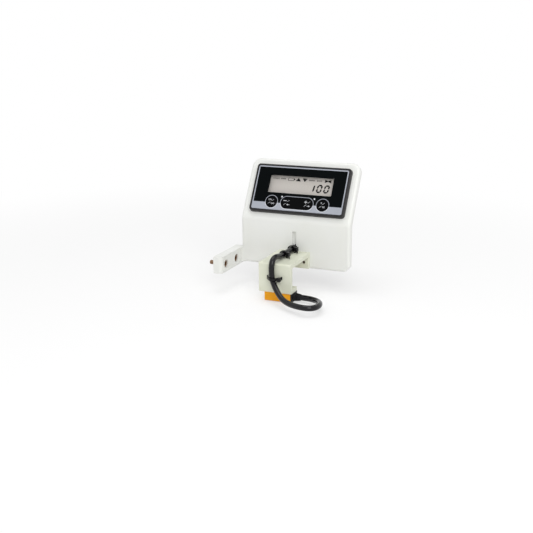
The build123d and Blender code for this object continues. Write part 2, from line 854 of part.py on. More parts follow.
def sensor_bracket():
    """A C of one section along the rail: leg, top, front and lip, with holes for the ties."""
    front, foot, wall = -bracket_front, -bracket_foot, bracket_wall
    back, top = plate_face, bracket_top
    points = [
        (back, top - bracket_leg), (back, top), (front, top), (front, foot), (front + bracket_lip, foot),
        (front + bracket_lip, foot + wall), (front + wall, foot + wall), (front + wall, top - wall),
        (back - wall, top - wall), (back - wall, top - bracket_leg),
    ]
    outer, inner = bracket_round, 0.8
    radii = [0, 0, outer, outer, 0.4, 0.4, inner, inner, inner, 0.4]
    left = bracket_x - bracket_width / 2
    outline = FilletPolyline(*[(left, y, z) for y, z in points], radius=radii, close=True)
    bracket = extrude(make_face(outline), bracket_width, dir=(1, 0, 0))
    ends = bracket.faces().filter_by(Axis.X)
    bracket = fillet([edge for end in ends for edge in end.edges()], bracket_edge)
    for cut in bracket_holes():
        bracket -= cut
    return bracket


def bracket_holes():
    """Threaded holes in the leg, clearance holes in the lip and slots for the ties."""
    cuts = []
    for side in (-1, 1):
        x = bracket_x + side * bracket_screw_spacing / 2
        place = (x, plate_face - bracket_wall - 1, bracket_top - bracket_screw_drop)
        cuts.append(rod(bracket_screw + 0.1, place, (0, 1, 0), bracket_wall + 2))
        x = sensor_screw_x(side)
        place = (x, sensor_middle_y(), -bracket_foot - 1)
        cuts.append(rod(sensor_screw + 0.4, place, (0, 0, 1), bracket_wall + 1 - sensor_head_sunk))
        cuts.append(sunk_cone(x, 1))
        slot = tie_thickness + 0.6
        tall = tie_width + 0.6
        x = cable_x_at_front() + side * front_tie_slots / 2
        middle = (x, -bracket_front + bracket_wall / 2, front_tie_height)
        cuts.append(Pos(*middle) * Box(slot, bracket_wall + 2, tall))
        for y in top_tie_places:
            x = cable_x_on_top() + side * (tie_inner_half() + tie_thickness / 2)
            middle = (x, y, bracket_top - bracket_wall / 2)
            cuts.append(Pos(*middle) * Box(slot, tall, bracket_wall + 2))
    return cuts


def bracket_screws():
    """Two socket-head screws from behind the plate into the bracket's leg."""
    seat_y = plate_face + carrier_depth
    length = carrier_depth + bracket_wall - 0.5
    sizes = (bracket_screw, bracket_head_width, bracket_head_height)
    screws = []
    for side in (-1, 1):
        x = bracket_x + side * bracket_screw_spacing / 2
        seat = (x, seat_y, bracket_top - bracket_screw_drop)
        screws.append(socket_screw(sizes, length, seat, (0, -1, 0)))
    return group(*screws)


def sensor_right():
    """The sensor head's right end, level with the bracket's."""
    return bracket_x + bracket_width / 2


def sensor_middle_y():
    """The middle of the sensor head from front to back."""
    return -bracket_front + sensor_setback + sensor_depth / 2


def sensor_screw_x(side):
    """Place of the sensor's left or right screw."""
    return sensor_right() - sensor_length / 2 + side * sensor_screw_spacing / 2


def sensor_head():
    """The potted head under the bracket's lip, with two threaded holes in its top."""
    low = (sensor_right() - sensor_length, -bracket_front + sensor_setback, -bracket_foot - sensor_height)
    high = (sensor_right(), low[1] + sensor_depth, -bracket_foot)
    head = block(low, high)
    head = fillet(head.edges().filter_by(Axis.Z), 1)
    head = chamfer(head.edges().group_by(Axis.Z)[0], 0.4)
    for side in (-1, 1):
        place = (sensor_screw_x(side), sensor_middle_y(), -bracket_foot - 5.5)
        head -= rod(sensor_screw + 0.1, place, (0, 0, 1), 6)
    return head


def sunk_cone(x, spare):
    """The cone under a sunk screw head in the lip, run out above the lip by spare."""
    top, steep = sensor_head_sunk, (sensor_sunk_head - sensor_screw) / 2 / sensor_head_sunk
    z = -bracket_foot + bracket_wall - top
    root = sensor_screw / 2
    cone = Cone(root, root + (top + spare) * steep, top + spare)
    return Pos(x, sensor_middle_y(), z + (top + spare) / 2) * cone


def sensor_screws():
    """Two sunk screws down through the lip into the sensor head, flush so that the rail clears them."""
    screws = []
    for side in (-1, 1):
        x, y = sensor_screw_x(side), sensor_middle_y()
        head = sunk_cone(x, 0)
        top = -bracket_foot + bracket_wall
        shank = rod(sensor_screw, (x, y, top - 0.2), (0, 0, -1), bracket_wall + sensor_screw_reach)
        screw = head + shank
        for angle in (0, 90):
            screw -= Pos(x, y, top) * Rot(0, 0, angle + 20) * Box(3, 0.6, 1.8)
        screws.append(screw)
    return group(*screws)


def sensor_boot():
    """The tapered boot where the cable leaves the sensor head."""
    z = -bracket_foot - sensor_height / 2
    place = Plane(origin=(sensor_right(), sensor_middle_y(), z), z_dir=(1, 0, 0))
    root, tip = sensor_boot_root / 2, sensor_boot_tip / 2
    boot = place.location * Pos(0, 0, sensor_boot_length / 2) * Cone(root, tip, sensor_boot_length)
    for step in (0.3, 0.5, 0.7):
        x = sensor_right() + step * sensor_boot_length
        ring = rod(2 * root, (x, sensor_middle_y(), z), (1, 0, 0), 0.6)
        boot -= ring - rod(2 * root - 2.6, (x - 1, sensor_middle_y(), z), (1, 0, 0), 3)
    return boot


def case_boot_mouth():
    """Where the cable meets the tip of the case's boot."""
    return meter_plane.from_local_coords((case_boot_x, case_boot_y, -cover_back - case_boot_length))


def cable_x_at_front():
    """Place of the cable across the bracket's front, at the front tie."""
    return bracket_x - 0.05


def cable_x_on_top():
    """Place of the cable along the bracket's top."""
    return bracket_x - 0.45


def cable_route():
    """The cable's route from the sensor's boot, round its loop, over the bracket and to the case."""
    z = -bracket_foot - sensor_height / 2
    start = Vector(sensor_right() + sensor_boot_length, sensor_middle_y(), z)
    loop = [
        (6.4, 0, 0), (12.9, -2.0, 0.2), (19.7, -6.9, 0.8), (24.3, -14.0, 1.6), (26.9, -22.1, 2.1),
        (26.3, -29.5, 2.5), (22.5, -34.0, 2.8), (16.3, -34.7, 2.9), (8.6, -31.7, 2.7),
        (1.5, -27.9, 3.2), (-5.1, -23.7, 4.8), (-11.3, -19.5, 7.7), (-17.2, -15.3, 11.9),
        (-21.7, -12.3, 17.1),
    ]
    corner = Vector(bracket_x, -bracket_front, bracket_top)
    climb = [(-1.6, -3.0, -9.2), (-1.6, -3.4, -2.2), (-1.5, -1.0, 3.5), (-1.3, 5.2, 4.9)]
    mouth = case_boot_mouth()
    inward = Vector(0, math.cos(tilt), -math.sin(tilt))
    turn = (1.1, 12.86, -9.89)
    points = [start] + stretch(start, loop) + stretch(corner, climb) + top_of_bracket()
    return points + behind_plate() + stretch(mouth, [turn]) + [mouth + inward * 8, mouth]


def stretch(base, steps):
    """Points of the cable's route, each measured from a base."""
    return [base + Vector(*step) for step in steps]


def top_of_bracket():
    """The cable's route along the bracket's top and through the plate."""
    base = Vector(bracket_x, 0, bracket_top)
    return stretch(base, [(-0.7, -11.5, 3.5), (-0.5, -0.5, 2.9), (-0.4, 11.5, 3.0),
                          (-0.3, plate_face, 2.8), (-0.5, plate_face + 11.2, 3.0)])


def behind_plate():
    """The cable's route behind the plate, towards the meter's boot."""
    base = Vector(bracket_x, plate_face + carrier_depth, bracket_top)
    return stretch(base, [(-2.3, 17.2, 3.1), (-6.6, 29.7, 4.1), (-13.6, 41.2, 6.8),
                          (-22.1, 50.0, 10.8), (-29.6, 53.7, 16.8)])


def cable_radii(points):
    """The largest tidy arc at each point of the route."""
    radii = []
    for before, here, after in zip(points, points[1:], points[2:]):
        half_turn = math.radians((here - before).get_angle(after - here)) / 2
        shorter = min((here - before).length, (after - here).length)
        radii.append(0.45 * shorter / math.tan(half_turn))
    return radii


def sensor_cable():
    """The round cable along its route."""
    points = cable_route()
    radii = cable_radii(points)
    print("cable arc radii", [round(radius, 1) for radius in radii])
    path = FilletPolyline(*points, radius=radii)
    section = Plane(origin=points[0], z_dir=points[1] - points[0]) * Circle(cable_diameter / 2)
    cable = sweep(section, path=path)
    expected = math.pi * (cable_diameter / 2) ** 2 * path.length
    print("cable length", round(path.length, 1), "volume share", round(cable.volume / expected, 4))
    return cable


def tie_inner_half():
    """Half the room inside a tie's strap, across the cable."""
    return cable_diameter / 2 + tie_slack


def tie_strap(points, radii, width):
    """A closed strap whose inside follows the points, centred on their plane."""
    inside = make_face(FilletPolyline(*points, radius=radii, close=True)).face()
    outside = offset(inside, tie_thickness, kind=Kind.ARC)
    band = outside - inside
    return extrude(band, width / 2, dir=inside.normal_at(), both=True)


def top_tie(y):
    """A tie round the cable and through the bracket's top, its cut tail pointing forwards."""
    x = cable_x_on_top()
    half = tie_inner_half()
    low = bracket_top - bracket_wall - 0.1
    high = bracket_top + cable_diameter + 2 * tie_slack
    points = [(x - half, y, low), (x + half, y, low), (x + half, y, high), (x - half, y, high)]
    strap = tie_strap(points, [0.5, 0.5, half * 0.9, half * 0.9], tie_width)
    head_x = x + half + tie_head / 2
    head_z = bracket_top + cable_diameter / 2 + 0.8
    head = Pos(head_x, y, head_z) * Box(tie_head, tie_width + 1.6, tie_head + 0.6)
    head = fillet(head.edges(), 0.5)
    head -= Pos(x, y, head_z) * Box(2 * half, tie_width + 4, tie_head + 4)
    tail_way = Vector(0.45, -0.75, -0.48)
    tail_start = (head_x + 0.6, y - 0.6, head_z + 0.6)
    tail_plane = Plane(origin=tail_start, x_dir=(0.9, 0.5, 0), z_dir=tail_way)
    tail = extrude(tail_plane * Rectangle(tie_thickness, tie_width), tie_tail)
    return strap + head + tail


def front_tie():
    """The tie that holds the cable on the bracket's front, through two slots."""
    x, z = cable_x_at_front(), front_tie_height
    half = front_tie_slots / 2 - tie_thickness / 2
    back = -bracket_front + bracket_wall + 0.1
    front = -bracket_front - 0.5
    peak = -bracket_front - cable_diameter - front_tie_peak
    points = [(x - half, back, z), (x + half, back, z), (x + half, front, z), (x, peak, z),
              (x - half, front, z)]
    strap = tie_strap(points, [0.5, 0.5, 1, front_tie_bend, 1], tie_width)
    head_x = x + cable_diameter / 2 + tie_head / 2 + 1.4
    head_y = front - tie_thickness - tie_head / 2 - 0.9
    head = Pos(head_x, head_y, z - 0.4) * Box(tie_head, tie_head, tie_head + 0.4)
    head = fillet(head.edges(), 0.5)
    return strap + head


# Each node is written under its own name.
nodes = {
    "carrier_plate": carrier_plate(),
    "fixing_screws": fixing_screws(),
    "meter_case": on_meter(meter_case()),
    "panel_gasket": on_meter(panel_gasket()),
    "front_foil": on_meter(front_foil()),
    "display_window": on_meter(display_window()),
    "display_glass": on_meter(display_glass()),
    "display_holder": on_meter(display_holder()),
    "contact_strips": on_meter(contact_strips()),
    "left_key": on_meter(round_key(-1)),
    "right_key": on_meter(round_key(1)),
    "rocker_key": on_meter(rocker_key()),
    "key_guide": on_meter(key_guide()),
    "tact_switches": on_meter(tact_switches()),
    "circuit_board": on_meter(circuit_board()),
    "board_screws": on_meter(board_screws()),
    "controller_chip": on_meter(controller_chip()),
    "cable_header": on_meter(cable_header()),
    "inner_lead": on_meter(inner_lead()),
    "battery_tray": on_meter(battery_tray()),
    "battery_cells": on_meter(battery_cells()),
    "battery_contacts": on_meter(battery_contacts()),
    "rear_cover": on_meter(rear_cover()),
    "cover_screws": on_meter(cover_screws()),
    "case_boot": on_meter(case_boot()),
    "panel_clamps": on_meter(panel_clamps()),
    "clamp_screws": on_meter(clamp_screws()),
    "sensor_bracket": sensor_bracket(),
    "bracket_screws": bracket_screws(),
    "sensor_head": sensor_head(),
    "sensor_screws": sensor_screws(),
    "sensor_boot": sensor_boot(),
    "sensor_cable": sensor_cable(),
    "front_tie": front_tie(),
    "middle_tie": top_tie(top_tie_places[0]),
    "rear_tie": top_tie(top_tie_places[1]),
}

os.makedirs("parts", exist_ok=True)
for name, shape in nodes.items():
    export_step(shape, f"parts/{name}.step")
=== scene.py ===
# %% [markdown]
# # A digital length readout
# The readout is a battery panel meter on a leaning plate. An arm beside the plate takes its two
# fixing screws, and a C-shaped bracket in front holds a magnetic sensor in its foot. The solid
# model comes in first as a fixed frame. Blender then adds what a solid model doesn't hold: the
# finishes, the printing, the figures in the display, the cable's soft line and the light.

# %% Load the solid model
import bpy
import math
from mathutils import Matrix, Vector


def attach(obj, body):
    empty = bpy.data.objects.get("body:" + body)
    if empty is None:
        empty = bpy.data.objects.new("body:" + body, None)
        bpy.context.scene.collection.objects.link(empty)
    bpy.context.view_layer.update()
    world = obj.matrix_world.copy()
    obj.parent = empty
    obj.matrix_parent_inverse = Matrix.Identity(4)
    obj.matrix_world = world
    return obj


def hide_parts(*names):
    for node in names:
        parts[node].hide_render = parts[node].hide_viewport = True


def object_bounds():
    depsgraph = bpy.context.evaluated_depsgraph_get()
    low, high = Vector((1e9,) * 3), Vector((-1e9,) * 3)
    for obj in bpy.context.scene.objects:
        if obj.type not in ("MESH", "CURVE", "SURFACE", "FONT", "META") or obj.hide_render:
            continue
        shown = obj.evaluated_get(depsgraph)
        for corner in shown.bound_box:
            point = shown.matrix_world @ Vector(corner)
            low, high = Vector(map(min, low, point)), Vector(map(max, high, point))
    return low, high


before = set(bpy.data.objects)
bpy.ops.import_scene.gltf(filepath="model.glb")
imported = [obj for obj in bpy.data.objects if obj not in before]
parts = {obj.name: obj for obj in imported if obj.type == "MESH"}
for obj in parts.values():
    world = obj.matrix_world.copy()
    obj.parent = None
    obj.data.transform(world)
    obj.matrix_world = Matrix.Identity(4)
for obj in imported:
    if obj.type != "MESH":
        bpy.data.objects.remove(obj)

solid_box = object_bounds()
mm = 0.001

# %% [markdown]
# The meter leans back with its panel, so its own axes help a lot: u runs to the right, v runs up
# the panel, and w comes out towards the reader. Each piece could be turned by itself, but one
# matrix that carries a flat drawing in millimetres to the panel serves every printed line.

# %% The meter's own axes
TILT = math.radians(30)
METER = Vector((65.5, 34.503, 67.304)) * mm
RIGHT = Vector((1, 0, 0))
UP = Vector((0, math.sin(TILT), math.cos(TILT)))
OUT = Vector((0, -math.cos(TILT), math.sin(TILT)))


def meter_matrix(w):
    """Carries millimetres on the meter's face to metres in the frame, w millimetres proud."""
    axes = Matrix((RIGHT, UP, OUT)).transposed().to_4x4()
    return Matrix.Translation(METER + OUT * w * mm) @ axes @ Matrix.Scale(mm, 4)


print("meter centre", [round(c, 4) for c in METER])

# %% [markdown]
# The camera stands where the photo was taken: a little to the right, about 0.8 m away, looking
# gently down. It could be turned by hand until it looks right, but here its place came from the
# lines of the bezel, whose real size is known, so that the picture can be held against the real
# thing. A camera looks along its own -Z axis, so its matrix is built from three directions.

# %% Camera
EYE = Vector((356.0, -690.6, 218.8)) * mm
YAW, PITCH, ROLL = math.radians(24.18), math.radians(16.245), math.radians(0.634)
FOCAL_PIXELS, FRAME_PIXELS, SENSOR_WIDTH = 832.8, 533, 36

ahead = Vector((-math.sin(YAW) * math.cos(PITCH), math.cos(YAW) * math.cos(PITCH),
                -math.sin(PITCH)))
level = Vector((math.cos(YAW), math.sin(YAW), 0))
down = ahead.cross(level)
camera_right = math.cos(ROLL) * level + math.sin(ROLL) * down
camera_up = math.sin(ROLL) * level - math.cos(ROLL) * down
facing = Matrix((camera_right, camera_up, -ahead)).transposed().to_4x4()

camera_data = bpy.data.cameras.new("camera")
camera_data.sensor_width = SENSOR_WIDTH
camera_data.lens = FOCAL_PIXELS * SENSOR_WIDTH / FRAME_PIXELS
camera_data.clip_start = 0.01
camera = bpy.data.objects.new("camera", camera_data)
camera.matrix_world = Matrix.Translation(EYE) @ facing
bpy.context.collection.objects.link(camera)
bpy.context.scene.camera = camera
bpy.context.scene.view_settings.view_transform = "Standard"
print("lens", round(camera_data.lens, 2), "mm")

# %% [markdown]
# A small product is usually lit by big soft lamps in a white tent. The world gives the tent's even
# light. It could have one strength for everything, but then a white background would flood the
# object with light. So it shows plain white to the camera and to whatever mirrors it or lets it
# through, and it lights the object at its own lower level.

# %% World light
TENT_LIGHT, BACKDROP_WHITE = 0.55, 1


def calculation(tree, operation):
    """A math node for one operation."""
    node = tree.nodes.new("ShaderNodeMath")
    node.operation = operation
    return node


world = bpy.data.worlds.new("light_tent")
world.use_nodes = True
bpy.context.scene.world = world
wires = world.node_tree
wires.nodes.clear()
rays = wires.nodes.new("ShaderNodeLightPath")
tent = wires.nodes.new("ShaderNodeBackground")
tent.inputs["Color"].default_value = (1, 1, 1, 1)
tent.inputs["Strength"].default_value = TENT_LIGHT
backdrop = wires.nodes.new("ShaderNodeBackground")
backdrop.inputs["Color"].default_value = (1, 1, 1, 1)
backdrop.inputs["Strength"].default_value = BACKDROP_WHITE
mirrored = calculation(wires, "MAXIMUM")
seen = calculation(wires, "MAXIMUM")
choose = wires.nodes.new("ShaderNodeMixShader")
surface = wires.nodes.new("ShaderNodeOutputWorld")
wires.links.new(rays.outputs["Is Glossy Ray"], mirrored.inputs[0])
wires.links.new(rays.outputs["Is Transmission Ray"], mirrored.inputs[1])
wires.links.new(rays.outputs["Is Camera Ray"], seen.inputs[0])
wires.links.new(mirrored.outputs[0], seen.inputs[1])
wires.links.new(seen.outputs[0], choose.inputs[0])
wires.links.new(tent.outputs[0], choose.inputs[1])
wires.links.new(backdrop.outputs[0], choose.inputs[2])
wires.links.new(choose.outputs[0], surface.inputs[0])
print("tent light", TENT_LIGHT)

# %% [markdown]
# A studio lamp is a wide white cloth with a light behind it, and Blender's area lamp is the same
# thing. The main one stands in front to the right, and a weaker one hangs above. Each is turned
# by its place and its target, so that it still lights the object when it is moved.

# %% Lamps
LAMP_AIM, LAMP_SIZE = Vector((0.06, 0, 0.02)), 0.8


def lamp(name, place, power):
    """A square soft lamp at a place in metres, turned to the aim."""
    data = bpy.data.lights.new(name, "AREA")
    data.size = LAMP_SIZE
    data.energy = power
    light = bpy.data.objects.new(name, data)
    light.location = place
    light.rotation_euler = (LAMP_AIM - Vector(place)).to_track_quat("-Z", "Y").to_euler()
    bpy.context.collection.objects.link(light)


lamp("key_lamp", (0.7, -0.85, 0.7), 7.2)
lamp("top_lamp", (0.0, 0.0, 1.1), 3.8)
print("lamps", len(bpy.data.lights))

# %% [markdown]
# The floor is a studio sheet with its edges far out of sight. It could curve up behind the object
# as paper does, but a flat square whose finish fades to white hides the horizon just as well. It
# lies a little under the lowest point.

# %% Floor
FLOOR_REACH, FLOOR_GAP = 4.0, 0.0006
floor_height = solid_box[0][2] - FLOOR_GAP
floor_mesh = bpy.data.meshes.new("floor")
corners = [(side_x * FLOOR_REACH, side_y * FLOOR_REACH, floor_height)
           for side_x, side_y in ((-1, -1), (1, -1), (1, 1), (-1, 1))]
floor_mesh.from_pydata(corners, [], [(0, 1, 2, 3)])
floor = bpy.data.objects.new("floor", floor_mesh)
bpy.context.collection.objects.link(floor)
print("floor at", round(floor_height, 4))

# %% [markdown]
# Moulded plastic is never one flat colour. It has a slight cloudiness, a very fine grain from the
# mould, and patches that hands have polished. Each could be drawn again in every material, but
# they come in most of the finishes, so each is a small node group with named inputs, built once.
# The first, cloudiness, blends two close colours by soft noise.

# %% Cloudiness
# A Mix node for colours keeps its two colours and its result at these places.
COLOUR_A, COLOUR_B, COLOUR_OUT = 6, 7, 2


def new_group(name, inputs, outputs, tree_kind="ShaderNodeTree"):
    """A node group with named sockets. Each input is (name, kind, default)."""
    group = bpy.data.node_groups.new(name, tree_kind)
    for label, kind, value in inputs:
        socket = group.interface.new_socket(label, in_out="INPUT", socket_type=kind)
        if value is not None:
            socket.default_value = value
    for label, kind in outputs:
        group.interface.new_socket(label, in_out="OUTPUT", socket_type=kind)
    return group, group.nodes.new("NodeGroupInput"), group.nodes.new("NodeGroupOutput")


def cloudiness_group():
    """Blends two close colours by soft noise: cloudy or mottled material."""
    group, given, result = new_group(
        "cloudiness",
        [("Colour", "NodeSocketColor", (1, 1, 1, 1)), ("Tint", "NodeSocketColor", (1, 1, 1, 1)),
         ("Scale", "NodeSocketFloat", 40.0), ("Amount", "NodeSocketFloat", 0.5)],
        [("Colour", "NodeSocketColor")])
    place = group.nodes.new("ShaderNodeTexCoord")
    noise = group.nodes.new("ShaderNodeTexNoise")
    noise.inputs["Detail"].default_value = 4
    ramp = group.nodes.new("ShaderNodeMapRange")
    ramp.inputs["From Min"].default_value = 0.35
    ramp.inputs["From Max"].default_value = 0.65
    share = calculation(group, "MULTIPLY")
    blend = group.nodes.new("ShaderNodeMix")
    blend.data_type = "RGBA"
    link = group.links.new
    link(place.outputs["Object"], noise.inputs["Vector"])
    link(given.outputs["Scale"], noise.inputs["Scale"])
    link(noise.outputs["Fac"], ramp.inputs["Value"])
    link(ramp.outputs["Result"], share.inputs[0])
    link(given.outputs["Amount"], share.inputs[1])
    link(share.outputs[0], blend.inputs["Factor"])
    link(given.outputs["Colour"], blend.inputs[COLOUR_A])
    link(given.outputs["Tint"], blend.inputs[COLOUR_B])
    link(blend.outputs[COLOUR_OUT], result.inputs["Colour"])
    return group


CLOUDINESS = cloudiness_group()
print("made", CLOUDINESS.name)

# %% [markdown]
# A mould is spark-eroded, so the plastic that it makes has a grain finer than a hair. It is far too
# fine to model, so noise moves the height of a bump instead, with a slower wave under it.


# %% Mould grain
def grain_group():
    """Height of a fine mould grain, with a slower wave under it."""
    group, given, result = new_group(
        "mould_grain",
        [("Scale", "NodeSocketFloat", 2500.0), ("Wave", "NodeSocketFloat", 0.3)],
        [("Height", "NodeSocketFloat")])
    place = group.nodes.new("ShaderNodeTexCoord")
    fine = group.nodes.new("ShaderNodeTexNoise")
    fine.inputs["Detail"].default_value = 2
    slow = group.nodes.new("ShaderNodeTexNoise")
    slow.inputs["Scale"].default_value = 60
    wave = calculation(group, "MULTIPLY")
    both = calculation(group, "ADD")
    link = group.links.new
    link(place.outputs["Object"], fine.inputs["Vector"])
    link(place.outputs["Object"], slow.inputs["Vector"])
    link(given.outputs["Scale"], fine.inputs["Scale"])
    link(slow.outputs["Fac"], wave.inputs[0])
    link(given.outputs["Wave"], wave.inputs[1])
    link(fine.outputs["Fac"], both.inputs[0])
    link(wave.outputs[0], both.inputs[1])
    link(both.outputs[0], result.inputs["Height"])
    return group


GRAIN = grain_group()
print("made", GRAIN.name)

# %% [markdown]
# Hands and cloths polish a surface in patches, so its reflections are sharper in one place than in
# another. A painted map could show them, but noise in the roughness needs no picture and has no
# seam.


# %% Polish
def polish_group():
    """Roughness that varies in soft patches, with a few finer scuffs."""
    group, given, result = new_group(
        "polish",
        [("Roughness", "NodeSocketFloat", 0.4), ("Range", "NodeSocketFloat", 0.1),
         ("Scale", "NodeSocketFloat", 60.0)],
        [("Roughness", "NodeSocketFloat")])
    place = group.nodes.new("ShaderNodeTexCoord")
    patches = group.nodes.new("ShaderNodeTexNoise")
    patches.inputs["Detail"].default_value = 5
    patches.inputs["Roughness"].default_value = 0.65
    centre = calculation(group, "SUBTRACT")
    centre.inputs[1].default_value = 0.5
    spread = calculation(group, "MULTIPLY_ADD")
    link = group.links.new
    link(place.outputs["Object"], patches.inputs["Vector"])
    link(given.outputs["Scale"], patches.inputs["Scale"])
    link(patches.outputs["Fac"], centre.inputs[0])
    link(centre.outputs[0], spread.inputs[0])
    link(given.outputs["Range"], spread.inputs[1])
    link(given.outputs["Roughness"], spread.inputs[2])
    link(spread.outputs[0], result.inputs["Roughness"])
    return group


POLISH = polish_group()
print("made", POLISH.name)

# %% [markdown]
# Every finish is a Principled shader fed by those groups. Values that are the same all over the
# surface, such as coat or sheen, are set on the shader itself. Colours are written as the eye
# reads them, from 0 to 255, and turned into the linear values that light works in.

# %% How a finish is made
CLOUD_AMOUNT, GRAIN_WAVE, BUMP_STRENGTH = 0.6, 0.3, 0.6


def linear(red, green, blue):
    """A screen colour of 0 to 255 as linear light."""
    def one(value):
        value /= 255
        return value / 12.92 if value <= 0.04045 else ((value + 0.055) / 1.055) ** 2.4
    return (one(red), one(green), one(blue), 1)


def place_effect(tree, group, **values):
    """Places a shared effect in a material, with its own values."""
    node = tree.nodes.new("ShaderNodeGroup")
    node.node_tree = group
    for label, value in values.items():
        node.inputs[label].default_value = value
    return node


def finish(name, colour, tint, roughness=0.45, vary=0.12, cloud_scale=40, grain=2500,
           depth=0.00002, **fixed):
    """A finish: cloudy colour, patchy polish, fine grain, and fixed shader values by name."""
    material = bpy.data.materials.new(name)
    material.use_nodes = True
    tree = material.node_tree
    shader = tree.nodes["Principled BSDF"]
    cloudy = place_effect(tree, CLOUDINESS, Colour=linear(*colour), Tint=linear(*tint),
                          Scale=cloud_scale, Amount=CLOUD_AMOUNT)
    polished = place_effect(tree, POLISH, Roughness=roughness, Range=vary)
    grainy = place_effect(tree, GRAIN, Scale=grain, Wave=GRAIN_WAVE)
    bump = tree.nodes.new("ShaderNodeBump")
    bump.inputs["Distance"].default_value = depth
    bump.inputs["Strength"].default_value = BUMP_STRENGTH
    link = tree.links.new
    link(cloudy.outputs["Colour"], shader.inputs["Base Color"])
    link(polished.outputs["Roughness"], shader.inputs["Roughness"])
    link(grainy.outputs["Height"], bump.inputs["Height"])
    link(bump.outputs["Normal"], shader.inputs["Normal"])
    for label, value in fixed.items():
        shader.inputs[label.replace("_", " ")].default_value = value
    return material


print("white is", linear(255, 255, 255))

# %% [markdown]
# The readout's outside is plain plastic: a white plate, a cream bracket, a black bezel and an
# orange sensor head. Its face is a glossy black foil with silver and white print. Each finish has
# two close colours, a roughness, and a few fixed values, and the photographed colours set them.

# %% Finishes of the plate, the bracket and the face
WHITE_PLASTIC = finish("white_plastic", (230, 231, 228), (226, 227, 221), 0.42, cloud_scale=28)
CREAM_PLASTIC = finish("cream_plastic", (219, 221, 204), (210, 213, 191), 0.4, cloud_scale=90)
METER_BLACK = finish("meter_black", (29, 27, 28), (24, 22, 23), 0.42, grain=3500, depth=0.00003,
                     Specular_IOR_Level=0.31)
FOIL_BLACK = finish("foil_black", (5, 8, 9), (8, 11, 12), 0.3, 0.05, Specular_IOR_Level=0.03)
KEY_BLACK = finish("key_black", (5, 6, 7), (8, 9, 10), 0.4, Specular_IOR_Level=0.04)
SILVER_PRINT = finish("silver_print", (164, 168, 177), (155, 159, 168), 0.45, grain=6000,
                      Metallic=0.1, Specular_IOR_Level=0.2)
WHITE_PRINT = finish("white_print", (228, 230, 234), (214, 216, 222), 0.5)
# A painted highlight: the lighter line along the lower edge of each key, drawn over the silver
# band.
RIM_HIGHLIGHT = finish("rim_highlight", (212, 215, 221), (204, 207, 214), 0.45, Specular_IOR_Level=0.2)
MARK_PRINT = finish("mark_print", (212, 214, 218), (198, 200, 205), 0.5, Specular_IOR_Level=0.2)
DISPLAY_GREY = finish("display_grey", (202, 197, 191), (199, 194, 188), 0.5, cloud_scale=20,
                      Specular_IOR_Level=0.2)
DISPLAY_INK = finish("display_ink", (12, 11, 12), (20, 18, 19), 0.5, Specular_IOR_Level=0.05)
FAINT_INK = finish("faint_ink", (74, 71, 69), (88, 84, 82), 0.5, Specular_IOR_Level=0.1)
print("finishes so far", len(bpy.data.materials))

# %% [markdown]
# The rest is resin, rubber, nylon, steel and what a meter holds inside: a green board, wrapped
# cells, nickel contacts. Metals have the shader's Metallic value near one, and the clear pane is
# almost see-through by its Alpha, so that the display shows behind it.

# %% Finishes of the sensor, the cable, the metal and the inside
ORANGE_RESIN = finish("orange_resin", (238, 164, 3), (230, 152, 2), 0.42, cloud_scale=160,
                      Specular_IOR_Level=0.3)
BLACK_RUBBER = finish("black_rubber", (18, 17, 19), (26, 25, 26), 0.55, depth=0.00004,
                      Specular_IOR_Level=0.2)
CABLE_JACKET = finish("cable_jacket", (11, 10, 16), (8, 8, 12), 0.13, 0.08, grain=1800,
                      depth=0.00001, Specular_IOR_Level=0.31)
TIE_NYLON = finish("tie_nylon", (13, 13, 15), (20, 19, 20), 0.32, Specular_IOR_Level=0.2)
GASKET_RUBBER = finish("gasket_rubber", (26, 26, 27), (33, 33, 33), 0.7)
DARK_STEEL = finish("dark_steel", (92, 78, 66), (58, 50, 44), 0.36, 0.2, cloud_scale=300,
                    Metallic=0.9)
BRONZED_STEEL = finish("bronzed_steel", (142, 112, 86), (106, 82, 62), 0.4, 0.2, cloud_scale=350,
                       Metallic=0.6)
ZINC_STEEL = finish("zinc_steel", (188, 186, 176), (166, 162, 150), 0.32, 0.15, cloud_scale=250,
                    Metallic=1.0)
NICKEL = finish("nickel", (196, 192, 184), (178, 172, 160), 0.25, 0.1, Metallic=1.0)
NATURAL_PLASTIC = finish("natural_plastic", (214, 208, 192), (204, 198, 180), 0.5)
TRAY_BLACK = finish("tray_black", (34, 34, 36), (42, 42, 43), 0.5)
BOARD_GREEN = finish("board_green", (28, 88, 48), (20, 70, 38), 0.32, cloud_scale=600,
                     Coat_Weight=0.3)
CELL_WRAP = finish("cell_wrap", (52, 66, 96), (44, 56, 84), 0.28, Coat_Weight=0.4)
CONTACT_RUBBER = finish("contact_rubber", (40, 40, 44), (60, 58, 62), 0.7, cloud_scale=900)
CLEAR_PANE = finish("clear_pane", (30, 31, 30), (24, 25, 24), 0.06, 0.02, depth=0,
                    Alpha=0.04, Specular_IOR_Level=0.3)
print("finishes so far", len(bpy.data.materials))

# %% [markdown]
# Black resin seals the sensor head where its cable comes out. It could be a second piece, but on
# the real head it is poured into the same shell, flush with it. So the head's finish turns black
# beyond a place along X, over a tenth of a millimetre.

# %% Black end of the sensor head
HEAD_END = max(corner[0] for corner in parts["sensor_head"].bound_box)
RESIN_DEPTH, RESIN_EDGE, RESIN_BLACK = 0.0015, 0.0001, (20, 18, 18)


